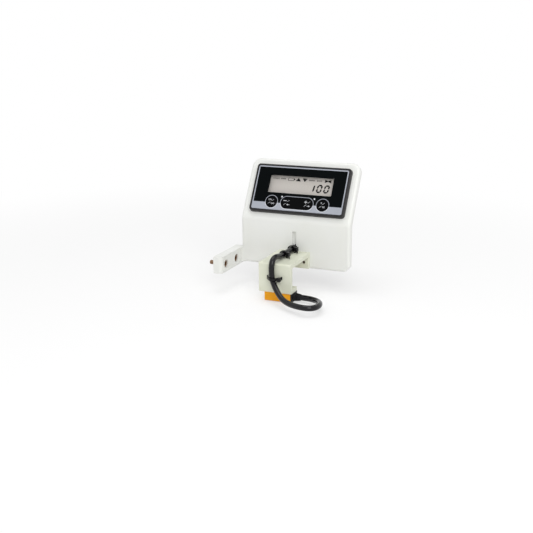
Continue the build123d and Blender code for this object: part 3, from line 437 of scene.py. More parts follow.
def dark_end(material, start, colour):
    """Makes a finish dark beyond a place along X."""
    tree = material.node_tree
    shader = tree.nodes["Principled BSDF"]
    plain = shader.inputs["Base Color"].links[0].from_socket
    place = tree.nodes.new("ShaderNodeTexCoord")
    split = tree.nodes.new("ShaderNodeSeparateXYZ")
    beyond = tree.nodes.new("ShaderNodeMapRange")
    beyond.inputs["From Min"].default_value = start
    beyond.inputs["From Max"].default_value = start + RESIN_EDGE
    blend = tree.nodes.new("ShaderNodeMix")
    blend.data_type = "RGBA"
    blend.inputs[COLOUR_B].default_value = linear(*colour)
    link = tree.links.new
    link(place.outputs["Object"], split.inputs[0])
    link(split.outputs["X"], beyond.inputs["Value"])
    link(beyond.outputs["Result"], blend.inputs["Factor"])
    link(plain, blend.inputs[COLOUR_A])
    link(blend.outputs[COLOUR_OUT], shader.inputs["Base Color"])


dark_end(ORANGE_RESIN, HEAD_END - RESIN_DEPTH, RESIN_BLACK)
print("resin starts at", round(HEAD_END - RESIN_DEPTH, 4))

# %% [markdown]
# Near the object the floor is a matt white sheet that glows by half, so its shadow is soft and
# pale. Further out it glows to plain white, so that no horizon shows. Only the camera and whatever
# mirrors the floor see the glow, and it is left out of the light that reaches the object.

# %% Floor finish
FLOOR_WHITE = (250, 250, 250)
FADE_START, FADE_END, NEAR_GLOW = 0.15, 0.6, 0.5


def floor_finish():
    """White floor that fades to plain white far from the object."""
    material = bpy.data.materials.new("floor_white")
    material.use_nodes = True
    tree = material.node_tree
    shader = tree.nodes["Principled BSDF"]
    shader.inputs["Base Color"].default_value = linear(*FLOOR_WHITE)
    shader.inputs["Roughness"].default_value = 0.8
    shader.inputs["Specular IOR Level"].default_value = 0
    place = tree.nodes.new("ShaderNodeTexCoord")
    far = tree.nodes.new("ShaderNodeVectorMath")
    far.operation = "LENGTH"
    fade = tree.nodes.new("ShaderNodeMapRange")
    fade.interpolation_type = "SMOOTHSTEP"
    fade.inputs["From Min"].default_value = FADE_START
    fade.inputs["From Max"].default_value = FADE_END
    fade.inputs["To Min"].default_value = NEAR_GLOW
    light = tree.nodes.new("ShaderNodeLightPath")
    mirrored = calculation(tree, "ADD")
    seen = calculation(tree, "ADD")
    share = calculation(tree, "MULTIPLY")
    share.use_clamp = True
    glow = tree.nodes.new("ShaderNodeEmission")
    mixed = tree.nodes.new("ShaderNodeMixShader")
    link = tree.links.new
    link(place.outputs["Object"], far.inputs[0])
    link(far.outputs["Value"], fade.inputs["Value"])
    link(light.outputs["Is Glossy Ray"], mirrored.inputs[0])
    link(light.outputs["Is Transmission Ray"], mirrored.inputs[1])
    link(light.outputs["Is Camera Ray"], seen.inputs[0])
    link(mirrored.outputs[0], seen.inputs[1])
    link(fade.outputs["Result"], share.inputs[0])
    link(seen.outputs[0], share.inputs[1])
    link(share.outputs[0], mixed.inputs[0])
    link(shader.outputs[0], mixed.inputs[1])
    link(glow.outputs[0], mixed.inputs[2])
    link(mixed.outputs[0], tree.nodes["Material Output"].inputs["Surface"])
    return material


floor_mesh.materials.append(floor_finish())
print("finishes", len(bpy.data.materials))

# %% [markdown]
# Most solids already have their true shape, so they only need a finish. They could be modelled
# again in Blender, but then the two models would drift apart. A part from the solid model is
# never moved or changed here: its material slot is simply given the better material.

# %% Finishes of the solid parts
PART_FINISH = {
    "carrier_plate": WHITE_PLASTIC, "fixing_screws": BRONZED_STEEL, "meter_case": METER_BLACK,
    "panel_gasket": GASKET_RUBBER, "front_foil": FOIL_BLACK, "display_window": CLEAR_PANE,
    "display_glass": DISPLAY_GREY, "display_holder": NATURAL_PLASTIC,
    "contact_strips": CONTACT_RUBBER, "left_key": KEY_BLACK, "right_key": KEY_BLACK,
    "rocker_key": KEY_BLACK, "key_guide": NATURAL_PLASTIC, "tact_switches": TRAY_BLACK,
    "circuit_board": BOARD_GREEN, "board_screws": ZINC_STEEL, "controller_chip": TRAY_BLACK,
    "cable_header": NATURAL_PLASTIC, "inner_lead": CABLE_JACKET, "battery_tray": TRAY_BLACK,
    "battery_cells": CELL_WRAP, "battery_contacts": NICKEL, "rear_cover": METER_BLACK,
    "cover_screws": ZINC_STEEL, "case_boot": BLACK_RUBBER, "panel_clamps": TRAY_BLACK,
    "clamp_screws": ZINC_STEEL, "sensor_bracket": CREAM_PLASTIC, "bracket_screws": DARK_STEEL,
    "sensor_head": ORANGE_RESIN, "sensor_screws": ZINC_STEEL, "sensor_boot": BLACK_RUBBER,
    "front_tie": TIE_NYLON, "middle_tie": TIE_NYLON, "rear_tie": TIE_NYLON,
}
for name, material in PART_FINISH.items():
    slots = parts[name].material_slots
    if not slots:
        parts[name].data.materials.append(material)
    for material_slot in slots:
        material_slot.material = material
print("finished solids", len(PART_FINISH))

# %% [markdown]
# Printing is a very thin layer of ink. It could be a painted image, but at this size an image's
# edges blur. So each printed shape is drawn as a flat outline, from a few simple forms: arcs,
# circles, rounded rectangles and strokes.


# %% Outlines
def arc(x, y, radius, start, end, steps):
    """Points on an arc, angles in degrees."""
    angles = [math.radians(start + (end - start) * i / steps) for i in range(steps + 1)]
    return [(x + radius * math.cos(a), y + radius * math.sin(a)) for a in angles]


def circle(x, y, radius, steps):
    """A closed circle."""
    return arc(x, y, radius, 0, 360, steps)[:-1]


def rounded(x, y, width, height, radius):
    """A rounded rectangle round its middle."""
    w, h = width / 2 - radius, height / 2 - radius
    corners = ((w, h, 0), (-w, h, 90), (-w, -h, 180), (w, -h, 270))
    return [point for dx, dy, start in corners
            for point in arc(x + dx, y + dy, radius, start, start + 90, 10)]


def stroke(x0, y0, x1, y1, width):
    """A straight stroke with square ends."""
    along = Vector((x1 - x0, y1 - y0)).normalized() * width / 2
    side = Vector((-along.y, along.x))
    start, end = Vector((x0, y0)) - along, Vector((x1, y1)) + along
    return [(p.x, p.y) for p in (start + side, start - side, end - side, end + side)]


print("points in a rounded corner", len(rounded(0, 0, 2, 2, 1)) // 4)

# %% [markdown]
# A 2D curve fills an outline, holes and all. The curve becomes a mesh a few hundredths of a
# millimetre thick and is carried to its place on the meter. Whatever Blender makes for this
# object, a curve, a text or a modifier's result, becomes a plain mesh in the same way.

# %% Printing
INK = 0.03


def plain_mesh(name, made, matrix, material, body):
    """Turns a made object into a plain mesh piece at its place, riding on a body."""
    bpy.context.collection.objects.link(made)
    graph = bpy.context.evaluated_depsgraph_get()
    mesh = bpy.data.meshes.new_from_object(made.evaluated_get(graph))
    bpy.data.objects.remove(made)
    mesh.transform(matrix)
    mesh.materials.clear()
    mesh.materials.append(material)
    mesh.name = name
    piece = bpy.data.objects.new(name, mesh)
    bpy.context.collection.objects.link(piece)
    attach(piece, body)
    return piece


def printed(name, outlines, proud, material, body="readout",
            thick=INK):
    """Prints closed outlines on the meter. The ink's underside stands proud mm of the bezel."""
    curve = bpy.data.curves.new(name, "CURVE")
    curve.dimensions = "2D"
    curve.fill_mode = "BOTH"
    curve.extrude = thick / 2
    for outline in outlines:
        line = curve.splines.new("POLY")
        line.points.add(len(outline) - 1)
        for point, (x, y) in zip(line.points, outline):
            point.co = (x, y, 0, 1)
        line.use_cyclic_u = True
    made = bpy.data.objects.new(name, curve)
    return plain_mesh(name, made, meter_matrix(proud + thick / 2), material, body)


print("ink is", INK, "mm thick")

# %% [markdown]
# The silver print is one shape: a line round the foil that widens below into a band. The band
# stops at the keys, which stand half on it and half on the black. It could be several strips, but
# one outline with one hole leaves no seam between them.

# %% Silver frame
# Millimetres on the meter's face, where the solid model has its foil and its keys.
FOIL_FRONT, FOIL_WIDTH, FOIL_HEIGHT, FOIL_CORNER = -0.15, 91.9, 43.9, 1.6
KEY_X, KEY_Y, KEY_RADIUS, ROCKER_HALF = 26, -14, 5.9, 16.2
BAND_TOP, BLACK_RIGHT, BLACK_TOP = -14.8, 44.9, 20.8
KEY_GAP, ROCKER_GAP = 0.22, 0.1

ring = KEY_RADIUS + KEY_GAP
rocker_end = ROCKER_HALF - KEY_RADIUS + ROCKER_GAP
# A key's ring crosses the band's top at these angles, on the right and on the left.
side_angle = math.degrees(math.asin((BAND_TOP - KEY_Y) / ring))
right_angle, left_angle = 360 + side_angle, 180 - side_angle

black_field = [(-BLACK_RIGHT, BLACK_TOP), (-BLACK_RIGHT, BAND_TOP)]
black_field += arc(-KEY_X, KEY_Y, ring, left_angle, right_angle, 30)
black_field += arc(-rocker_end, KEY_Y, ring, left_angle, 270, 20)
black_field += arc(rocker_end, KEY_Y, ring, 270, right_angle, 20)
black_field += arc(KEY_X, KEY_Y, ring, left_angle, right_angle, 30)
black_field += [(BLACK_RIGHT, BAND_TOP), (BLACK_RIGHT, BLACK_TOP)]
foil_outline = rounded(0, 0, FOIL_WIDTH, FOIL_HEIGHT, FOIL_CORNER)
silver_frame = printed("silver_frame", [foil_outline, black_field], FOIL_FRONT, SILVER_PRINT)
print("silver frame faces", len(silver_frame.data.polygons))

# %% [markdown]
# Each key has a thin silver ring where it stands on the black. Where it stands in the band, a
# lighter line runs along its lower edge instead, printed last, on top of the silver: it is a
# painted highlight of the key's lit edge, not ink that the foil has. Two arcs that run opposite
# ways make one closed outline for each.

# %% Key rings and dots
RING_WIDTH, RIM_WIDTH = 0.5, 0.55
DOTS, DOT_RADIUS = ((-16.1, -8.4), (17, -8.3)), 0.75

outer = ring + RING_WIDTH
for name, x in (("left_ring", -KEY_X), ("right_ring", KEY_X)):
    outline = (arc(x, KEY_Y, outer, side_angle, left_angle, 30)
               + arc(x, KEY_Y, ring, left_angle, side_angle, 30))
    printed(name, [outline], FOIL_FRONT, SILVER_PRINT)
rocker_ring = (arc(rocker_end, KEY_Y, outer, side_angle, 90, 20)
               + arc(-rocker_end, KEY_Y, outer, 90, left_angle, 20)
               + arc(-rocker_end, KEY_Y, ring, left_angle, 90, 20)
               + arc(rocker_end, KEY_Y, ring, 90, side_angle, 20))
printed("rocker_ring", [rocker_ring], FOIL_FRONT, SILVER_PRINT)

# The rims below are a painted highlight along each key's lower edge, drawn as print on the silver.
rim = ring + RIM_WIDTH
lower_rim_highlights = [arc(x, KEY_Y, rim, left_angle, right_angle, 30)
              + arc(x, KEY_Y, ring, right_angle, left_angle, 30) for x in (-KEY_X, KEY_X)]
lower_rim_highlights.append(arc(-rocker_end, KEY_Y, rim, left_angle, 270, 20)
                  + arc(rocker_end, KEY_Y, rim, 270, right_angle, 20)
                  + arc(rocker_end, KEY_Y, ring, right_angle, 270, 20)
                  + arc(-rocker_end, KEY_Y, ring, 270, left_angle, 20))
printed("lower_rim_highlights", lower_rim_highlights, FOIL_FRONT + INK, RIM_HIGHLIGHT)
printed("key_dots", [circle(x, y, DOT_RADIUS, 16) for x, y in DOTS], FOIL_FRONT, WHITE_PRINT)
print("rings", 3, "dots", len(DOTS))

# %% [markdown]
# A clear window shows the case's walls at its edges, so it is often printed black there. This one
# has a black strip along its top and its left, with the corners of the window's own opening.

# %% Pane border
PANE_FRONT = -0.2
pane_border = [(-31.75, -4.4), (-31.75, 12.9), (32.45, 12.9), (32.45, 13.4), (32.25, 13.85),
               (31.8, 14.05), (-31.9, 14.05), (-32.35, 13.85), (-32.55, 13.4), (-32.55, -3.8),
               (-32.35, -4.25), (-32.1, -4.4)]
printed("pane_border", [pane_border], PANE_FRONT, FOIL_BLACK)
print("border points", len(pane_border))

# %% [markdown]
# Each key carries two small marks, each with a slash beside it. Plain signs do here: on and off,
# minus and plus, arrows, and a zero. A font draws the letters, and strokes and triangles draw the
# rest. They ride on the keys, so they move when a key is pressed.

# %% Shapes of the key marks
KEY_FRONT, KEY_INK = 0.25, 0.02
LETTER_SIZE, LETTER_WEIGHT = 1.4, 0.01


def slash(x, y):
    """The slanted stroke beside a key's mark."""
    return stroke(x - 0.9, y - 0.8, x + 1.0, y + 0.8, 0.26)


def letters(name, text, x, y, height, body):
    """Small printed letters, made a mesh before they are placed."""
    font = bpy.data.curves.new(name, "FONT")
    font.body = text
    font.size = height * LETTER_SIZE
    font.align_x = "CENTER"
    font.align_y = "CENTER"
    font.extrude = KEY_INK / 2
    font.offset = LETTER_WEIGHT
    made = bpy.data.objects.new(name, font)
    place = meter_matrix(KEY_FRONT + KEY_INK / 2) @ Matrix.Translation((x, y, 0))
    return plain_mesh(name, made, place, MARK_PRINT, body)


def triangle(x, y, width, height):
    """A triangle that points up, or down where height is negative."""
    return [(x - width / 2, y - height / 2), (x + width / 2, y - height / 2), (x, y + height / 2)]


def arrow(x, y, size):
    """A triangle that points right, or left where size is negative."""
    return [(x - size / 2, y - abs(size) / 2), (x - size / 2, y + abs(size) / 2), (x + size / 2, y)]


def marked(name, outlines, body):
    """Prints marks on a key, riding on its body."""
    printed(name, outlines, KEY_FRONT, MARK_PRINT, body, thick=KEY_INK)


print("a slash has", len(slash(0, 0)), "points")

# %% [markdown]
# Every mark below is placed in millimetres on the meter's face, as it was read from the photograph.
# The upper mark of a key stands to the left of its slash, and the lower one to the right.

# %% Key marks
letters("left_key_on", "ON", -27.6, -12.2, 1.5, "left_key")
letters("left_key_off", "OFF", -24.4, -16.0, 1.5, "left_key")
marked("left_key_slash", [slash(-24.6, -12.6), slash(-28.0, -15.4)], "left_key")
letters("right_key_zero", "0", 24.6, -12.0, 1.6, "right_key")
marked("right_key_slash", [slash(27.0, -12.4), slash(24.0, -15.6),
                           stroke(26.3, -16.2, 28.6, -16.2, 0.32),
                           stroke(26.3, -15.3, 28.6, -15.3, 0.32)], "right_key")
rocker_marks = [
    stroke(-13.4, -12.2, -10.8, -12.2, 0.6), slash(-8.6, -12.4), slash(-12.0, -15.6),
    arrow(-9.3, -16.0, -1.5), stroke(-8.3, -16.0, -7.1, -16.0, 0.36),
    stroke(7.9, -12.2, 10.3, -12.2, 0.5), stroke(9.1, -13.25, 9.1, -12.75, 0.5),
    stroke(9.1, -11.65, 9.1, -11.15, 0.5), slash(12.2, -12.4),
    slash(9.0, -15.6), arrow(13.1, -16.0, 1.5), stroke(10.9, -16.0, 12.1, -16.0, 0.36),
]
marked("rocker_marks", rocker_marks, "rocker")
print("marks on the rocker", len(rocker_marks))

# %% [markdown]
# The display shows dark figures on warm grey. Its figures are made of bars with pointed ends,
# leaning a little to the right. A font would do, but one bar shape and a table of which bars are
# lit copy how a display draws them. The nought has six bars, and the one is a single long bar. No
# two outlines of a print overlap, because a curve leaves the overlap empty. The figures lie just
# in front of the glass, deep behind the clear window.

# %% Display figures
GLASS_FRONT = -3.86
# The glass is seen through the window at a slant, so what lies on it is drawn a little off.
SHIFT_U, SHIFT_V = -1.59, 1.27
LEAN = math.tan(math.radians(9))
FIGURE_WIDTH, FIGURE_HEIGHT, BAR, BAR_GAP = 3.8, 8.3, 1.55, 0.08
FIGURE_PLACES, FIGURE_LEVEL = (("1", 12.5), ("0", 20.0), ("0", 27.2)), 1.95
LIT = {"0": "abcdef", "1": "i"}


def bar(x0, y0, x1, y1):
    """A bar with pointed ends, a little shorter than the distance between its ends."""
    along = Vector((x1 - x0, y1 - y0))
    unit = along.normalized()
    side = Vector((-unit.y, unit.x)) * BAR / 2
    a, b = Vector((x0, y0)) + unit * BAR_GAP, Vector((x1, y1)) - unit * BAR_GAP
    tip = unit * BAR / 2
    points = [a, a + tip + side, b - tip + side, b, b - tip - side, a + tip - side]
    return [(p.x, p.y) for p in points]


def figure(symbol, x, y):
    """The lit bars of one figure, x and y being its middle."""
    w, h = FIGURE_WIDTH / 2, (FIGURE_HEIGHT - BAR) / 2
    ends = {"a": (-w, h, w, h), "b": (w, h, w, 0), "c": (w, 0, w, -h), "d": (-w, -h, w, -h),
            "e": (-w, 0, -w, -h), "f": (-w, h, -w, 0), "i": (w, h, w, -h)}
    outlines = []
    for name in LIT[symbol]:
        outline = bar(*ends[name])
        outlines.append([(x + px + py * LEAN, y + py) for px, py in outline])
    return outlines


figures = []
for symbol, x in FIGURE_PLACES:
    figures += figure(symbol, x + SHIFT_U, FIGURE_LEVEL + SHIFT_V)
printed("display_figures", figures, GLASS_FRONT, DISPLAY_INK)
print("display bars", len(figures))

# %% [markdown]
# Above the figures stands a row of small signs: a battery, an arrow up, an arrow down and a bow
# tie, with short words between them that are too small to read. They are drawn as simple shapes
# and the words in a fainter ink, because finer ones would blur at this size.

# %% Display signs
row, SIGN_LINE = 9.6 + SHIFT_V, 0.5
up_sign, down_sign, bow_sign, cell_sign = (
    place + SHIFT_U for place in (-2.7, 3.9, 27.4, -10.2))
signs = [triangle(up_sign, row + 0.45, 4.5, 2.9),
         stroke(up_sign - 2.1, row - 1.3, up_sign + 2.1, row - 1.3, SIGN_LINE),
         triangle(down_sign, row - 0.35, 4.3, -3.0),
         stroke(down_sign - 1.9, row + 1.5, down_sign + 1.9, row + 1.5, SIGN_LINE),
         [(bow_sign - 3.2, row - 1.4), (bow_sign, row), (bow_sign + 3.2, row - 1.4),
          (bow_sign + 3.2, row + 1.9), (bow_sign, row + 0.7), (bow_sign - 3.2, row + 1.9)]]
printed("display_signs", signs, GLASS_FRONT, DISPLAY_INK)
battery_sign = [rounded(cell_sign, row, 6.2, 2.9, 0.3), rounded(cell_sign, row, 5.4, 2.1, 0.2),
                rounded(cell_sign + 3.6, row, 0.8, 1.4, 0.1)]
printed("battery_sign", battery_sign, GLASS_FRONT, DISPLAY_INK)

# A word is a row of small rings, with their holes a little up and down by turns.
WORD_SPANS, MARK_PITCH = ((-29.1, -22.4), (-20.8, -15.8), (8.1, 14.1), (16, 21.3)), 1.3
MARK, HOLE, HOLE_SHIFT = (0.9, 1.3, 0.3), (0.3, 0.5, 0.14), 0.1
word_row = row + 0.2
words = []
for left, right in WORD_SPANS:
    count = round((right - left) / MARK_PITCH)
    for i in range(count):
        x = left + (i + 0.5) * (right - left) / count + SHIFT_U
        words.append(rounded(x, word_row, *MARK))
        words.append(rounded(x, word_row + HOLE_SHIFT * (-1) ** i, *HOLE))
printed("display_words", words, GLASS_FRONT, FAINT_INK)
print("signs", len(signs), "small marks", len(words) // 2)

# %% [markdown]
# Some details are one small shape many times over: the grip ridges round a screw's head, the
# teeth of a cable tie, the legs of a chip. They could be copied by hand, but Geometry Nodes makes
# them from two small groups, and their sizes stay open to change. One group sets blocks in a
# ring, the other in a row. A seed makes each block a little uneven.

# %% What the repeating groups share
GEOMETRY = [("Geometry", "NodeSocketGeometry")]
MATERIAL = ("Material", "NodeSocketMaterial", None)


def repeat_group(name, extra):
    """A geometry group that repeats a block, with the usual inputs and one of its own."""
    usual = [("Count", "NodeSocketInt", 8), ("Block", "NodeSocketVector", (0.001, 0.001, 0.001)),
             ("Unevenness", "NodeSocketFloat", 0.1), ("Seed", "NodeSocketInt", 1)]
    return new_group(name, usual + [extra, MATERIAL], GEOMETRY, "GeometryNodeTree")


def make_real(group, given, result, made):
    """Ends a tree: instances become real, and the mesh gets its material."""
    real = group.nodes.new("GeometryNodeRealizeInstances")
    paint = group.nodes.new("GeometryNodeSetMaterial")
    link = group.links.new
    link(made, real.inputs["Geometry"])
    link(real.outputs["Geometry"], paint.inputs["Geometry"])
    link(given.outputs["Material"], paint.inputs["Material"])
    link(paint.outputs["Geometry"], result.inputs["Geometry"])


def set_blocks(group, given, result, places):
    """Puts an uneven block on every place."""
    block = group.nodes.new("GeometryNodeMeshCube")
    uneven = group.nodes.new("FunctionNodeRandomValue")
    uneven.data_type = "FLOAT_VECTOR"
    least = calculation(group, "SUBTRACT")
    least.inputs[0].default_value = 1
    spread = group.nodes.new("GeometryNodeInstanceOnPoints")
    link = group.links.new
    link(given.outputs["Block"], block.inputs["Size"])
    link(given.outputs["Unevenness"], least.inputs[1])
    link(least.outputs[0], uneven.inputs["Min"])
    uneven.inputs["Max"].default_value = (1, 1, 1)
    link(given.outputs["Seed"], uneven.inputs["Seed"])
    link(places, spread.inputs["Points"])
    link(block.outputs["Mesh"], spread.inputs["Instance"])
    link(uneven.outputs["Value"], spread.inputs["Scale"])
    make_real(group, given, result, spread.outputs["Instances"])
    return spread


print("every group puts out", GEOMETRY[0][0])

# %% A ring and a row of blocks
def ring_group():
    """Blocks in a ring, each turned to face outwards."""
    group, given, result = repeat_group("block_ring", ("Radius", "NodeSocketFloat", 0.003))
    ring = group.nodes.new("GeometryNodeMeshCircle")
    place = group.nodes.new("GeometryNodeInputPosition")
    turn = group.nodes.new("FunctionNodeAlignRotationToVector")
    turn.axis = "X"
    turn.pivot_axis = "Z"
    link = group.links.new
    link(given.outputs["Count"], ring.inputs["Vertices"])
    link(given.outputs["Radius"], ring.inputs["Radius"])
    spread = set_blocks(group, given, result, ring.outputs["Mesh"])
    link(place.outputs["Position"], turn.inputs["Vector"])
    link(turn.outputs["Rotation"], spread.inputs["Rotation"])
    return group


def row_group():
    """Blocks in a straight row along X, its middle at the origin."""
    group, given, result = repeat_group("block_row", ("Pitch", "NodeSocketFloat", 0.001))
    row = group.nodes.new("GeometryNodeMeshLine")
    step = group.nodes.new("ShaderNodeCombineXYZ")
    last = calculation(group, "SUBTRACT")
    last.inputs[1].default_value = 1
    half = calculation(group, "MULTIPLY")
    back = calculation(group, "MULTIPLY")
    back.inputs[1].default_value = -0.5
    start = group.nodes.new("ShaderNodeCombineXYZ")
    link = group.links.new
    link(given.outputs["Count"], row.inputs["Count"])
    link(given.outputs["Pitch"], step.inputs["X"])
    link(step.outputs["Vector"], row.inputs["Offset"])
    link(given.outputs["Count"], last.inputs[0])
    link(last.outputs[0], half.inputs[0])
    link(given.outputs["Pitch"], half.inputs[1])
    link(half.outputs[0], back.inputs[0])
    link(back.outputs[0], start.inputs["X"])
    link(start.outputs["Vector"], row.inputs["Start Location"])
    set_blocks(group, given, result, row.outputs["Mesh"])
    return group


BLOCK_RING = ring_group()
BLOCK_ROW = row_group()
print("repeat groups", BLOCK_RING.name, BLOCK_ROW.name)

# %% [markdown]
# A screw thread is a groove cut on a helix. Cutting it from the solid would be slow and heavy, so
# a fine four-sided ridge winds round the plain shank instead, which looks the same from outside.


# %% Thread group
def thread_group():
    """A screw thread: a fine ridge that winds up along Z from the origin."""
    sizes = (("Turns", 10.0), ("Radius", 0.002), ("Length", 0.007), ("Ridge", 0.0001))
    inputs = [(label, "NodeSocketFloat", value) for label, value in sizes]
    group, given, result = new_group("thread", inputs + [MATERIAL], GEOMETRY, "GeometryNodeTree")
    winding = group.nodes.new("GeometryNodeCurveSpiral")
    winding.inputs["Resolution"].default_value = 28
    section = group.nodes.new("GeometryNodeCurvePrimitiveCircle")
    section.inputs["Resolution"].default_value = 4
    ridge = group.nodes.new("GeometryNodeCurveToMesh")
    ridge.inputs["Fill Caps"].default_value = True
    link = group.links.new
    link(given.outputs["Turns"], winding.inputs["Rotations"])
    link(given.outputs["Radius"], winding.inputs["Start Radius"])
    link(given.outputs["Radius"], winding.inputs["End Radius"])
    link(given.outputs["Length"], winding.inputs["Height"])
    link(given.outputs["Ridge"], section.inputs["Radius"])
    link(winding.outputs["Curve"], ridge.inputs["Curve"])
    link(section.outputs["Curve"], ridge.inputs["Profile Curve"])
    make_real(group, given, result, ridge.outputs["Mesh"])
    return group


THREAD = thread_group()
print("made", THREAD.name)

# %% [markdown]
# A group is put to work by a modifier on an empty mesh. Its inputs are set by their identifiers
# before the object is first evaluated, and the result becomes a plain mesh at its place.


# %% Pieces made by the groups
def repeated(name, group, values, place, material):
    """A piece of the readout whose mesh the group makes, with its inputs set by name."""
    made = bpy.data.objects.new(group.name, bpy.data.meshes.new(group.name))
    modifier = made.modifiers.new("repeat", "NODES")
    modifier.node_group = group
    values = {**values, "Material": material}
    for item in group.interface.items_tree:
        if item.in_out == "INPUT" and item.name in values:
            modifier[item.identifier] = values[item.name]
    plain_mesh(name, made, place, material, "readout")


def aligned(place, along, across):
    """A matrix whose X runs along, and whose Z is as near to across as it can be."""
    x_axis = Vector(along).normalized()
    y_axis = Vector(across).cross(x_axis).normalized()
    turned = Matrix((x_axis, y_axis, x_axis.cross(y_axis))).transposed().to_4x4()
    return Matrix.Translation(Vector(place)) @ turned


print("groups at hand", BLOCK_RING.name, BLOCK_ROW.name, THREAD.name)

# %% [markdown]
# Two screws hold the bracket from behind the plate. Each head is 5.5 mm wide and stands 3 mm proud,
# with fine ridges round it for a better grip. The ridges leave the head's rim free.

# %% Grip ridges on the bracket's screws
GRIP_X, GRIP_Y, GRIP_Z = (0.0541, 0.0761), 0.0307, 0.0005
GRIP = {"Count": 36, "Block": (0.00016, 0.00024, 0.0021), "Unevenness": 0.15, "Radius": 0.00275}
for index, x in enumerate(GRIP_X):
    place = aligned((x, GRIP_Y, GRIP_Z), (1, 0, 0), (0, 1, 0))
    repeated(f"bracket_screw_grip_{index + 1}", BLOCK_RING, {**GRIP, "Seed": 11 + index}, place,
             DARK_STEEL)
print("gripped heads", len(GRIP_X))

# %% [markdown]
# The fixing screws stand 7.5 mm out of the arm, and the clamps' screws show behind the panel. The
# first pair is placed in metres in the frame, the second in millimetres on the meter.

# %% Threads that show
FIXING_X, FIXING_Y = -0.0007, (-0.011, 0.011)
CLAMP_U, CLAMP_W = (-48.3, 48.3), -13.35
FIXING_THREAD = {"Turns": 9.5, "Radius": 0.00196, "Length": 0.0067, "Ridge": 0.00011}
CLAMP_THREAD = {"Turns": 5.5, "Radius": 1.22, "Length": 2.6, "Ridge": 0.09}
for index, y in enumerate(FIXING_Y):
    place = aligned((FIXING_X, y, 0), (0, 1, 0), (-1, 0, 0))
    repeated(f"fixing_thread_{index + 1}", THREAD, FIXING_THREAD, place, BRONZED_STEEL)
for index, u in enumerate(CLAMP_U):
    place = meter_matrix(CLAMP_W) @ Matrix.Translation((u, 0, 0))
    repeated(f"clamp_thread_{index + 1}", THREAD, CLAMP_THREAD, place, ZINC_STEEL)
print("threads", len(FIXING_Y) + len(CLAMP_U))

# %% [markdown]
# A cable tie's tail has a row of small teeth, which its head locks on. The two ties on the
# bracket's top turn the flat of their tails to the viewer, so a short row stands on each side.

# %% Teeth on the tails of the two top ties
# The ties' places and where their tails start are in millimetres, as in the solid model.
TIE_Y, TAIL_X, TAIL_BACK, TAIL_Z = (-2.5, 17.3), 69.85, -0.6, 13.75
TEETH_MIDDLE, TAIL_HALF = 0.0029, 0.0005
TEETH = {"Count": 6, "Block": (0.0003, 0.0017, 0.00016), "Unevenness": 0.12, "Pitch": 0.0006}
tail_way = Vector((0.45, -0.75, -0.48)).normalized()
flat_way = Vector((0.9, 0.5, 0))
flat_way = (flat_way - tail_way * flat_way.dot(tail_way)).normalized()
for index, y in enumerate(TIE_Y):
    tail_start = Vector((TAIL_X, y + TAIL_BACK, TAIL_Z)) * mm
    for side_name, side in (("left", -1), ("right", 1)):
        middle = tail_start + tail_way * TEETH_MIDDLE + flat_way * side * TAIL_HALF
        repeated(f"tie_teeth_{index + 1}_{side_name}", BLOCK_ROW, {**TEETH, "Seed": 21 + index},
                 aligned(middle, tail_way, flat_way), TIE_NYLON)
print("rows of teeth", 2 * len(TIE_Y))

# %% [markdown]
# The processor sits on the back of the board, 12 mm square, with eleven legs on each side. One row
# of legs, turned in quarters about the chip's middle, gives all four.

# %% Legs of the processor
CHIP_U, CHIP_V, CHIP_W, LEG_REACH, SIDES = 12, -13, -10.35, 6.4, 4
LEGS = {"Count": 11, "Block": (0.35, 0.9, 0.3), "Unevenness": 0.05, "Pitch": 0.95}
for index in range(SIDES):
    turn = Matrix.Rotation(math.radians(90 * index), 4, "Z")
    place = (meter_matrix(CHIP_W) @ Matrix.Translation((CHIP_U, CHIP_V, 0)) @ turn
             @ Matrix.Translation((0, LEG_REACH, 0)))
    repeated(f"chip_legs_{index + 1}", BLOCK_ROW, {**LEGS, "Seed": 31 + index}, place, NICKEL)
print("legs", SIDES * LEGS["Count"])
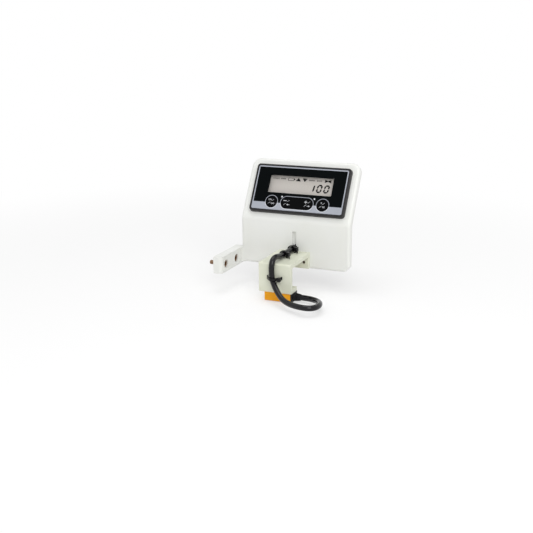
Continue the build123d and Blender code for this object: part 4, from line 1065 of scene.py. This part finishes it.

# %% [markdown]
# The cable is a round rubber jacket about 5 mm thick. It leaves the sensor, loops forwards, climbs
# the bracket's front, runs back under three ties and goes through the plate to the meter. It could
# be swept from straight pieces and arcs, but a NURBS spline on listed points bends as rubber
# does. The points keep within about a millimetre of the solid's route, and a bevel makes it round.

# %% Sensor cable
CABLE_POINTS = [
    (0.0871, -0.016, -0.0226), (0.0935, -0.016, -0.0226), (0.1, -0.018, -0.0224),
    (0.1068, -0.0229, -0.0218), (0.1111, -0.03, -0.0209), (0.1134, -0.0381, -0.0202),
    (0.1124, -0.0455, -0.0199), (0.1087, -0.05, -0.0196), (0.1024, -0.0507, -0.0195),
    (0.0944, -0.0477, -0.02), (0.0868, -0.0439, -0.0201), (0.0797, -0.0397, -0.0190),
    (0.0738, -0.0355, -0.0158), (0.0683, -0.0313, -0.0110), (0.0644, -0.0283, -0.0055),
    (0.0634, -0.028, 0.0005), (0.0635, -0.0284, 0.0075), (0.0636, -0.026, 0.0132),
    (0.0638, -0.0198, 0.0146), (0.0644, -0.0115, 0.0132), (0.0646, -0.0005, 0.0126),
    (0.0647, 0.0115, 0.0127), (0.0648, 0.0233, 0.0125), (0.0646, 0.0345, 0.0127),
    (0.0628, 0.0465, 0.0128), (0.0585, 0.059, 0.0138), (0.0515, 0.0705, 0.0165),
    (0.043, 0.0793, 0.0205), (0.0355, 0.083, 0.0265), (0.0306, 0.0813, 0.0332),
    (0.0295, 0.07537, 0.03909), (0.0295, 0.06844, 0.04309),
]
CABLE_DIAMETER = 0.0053

cable_curve = bpy.data.curves.new("sensor_cable_line", "CURVE")
cable_curve.dimensions = "3D"
cable_curve.resolution_u = 10
cable_curve.bevel_depth = CABLE_DIAMETER / 2
cable_curve.bevel_resolution = 6
cable_curve.use_fill_caps = True
line = cable_curve.splines.new("NURBS")
line.points.add(len(CABLE_POINTS) - 1)
for point, place in zip(line.points, CABLE_POINTS):
    point.co = (*place, 1)
line.order_u = 3
line.use_endpoint_u = True
cable_curve.materials.append(CABLE_JACKET)
cable = bpy.data.objects.new("cable_jacket_line", cable_curve)
bpy.context.collection.objects.link(cable)
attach(cable, "readout")
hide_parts("sensor_cable")
print("cable points", len(CABLE_POINTS))
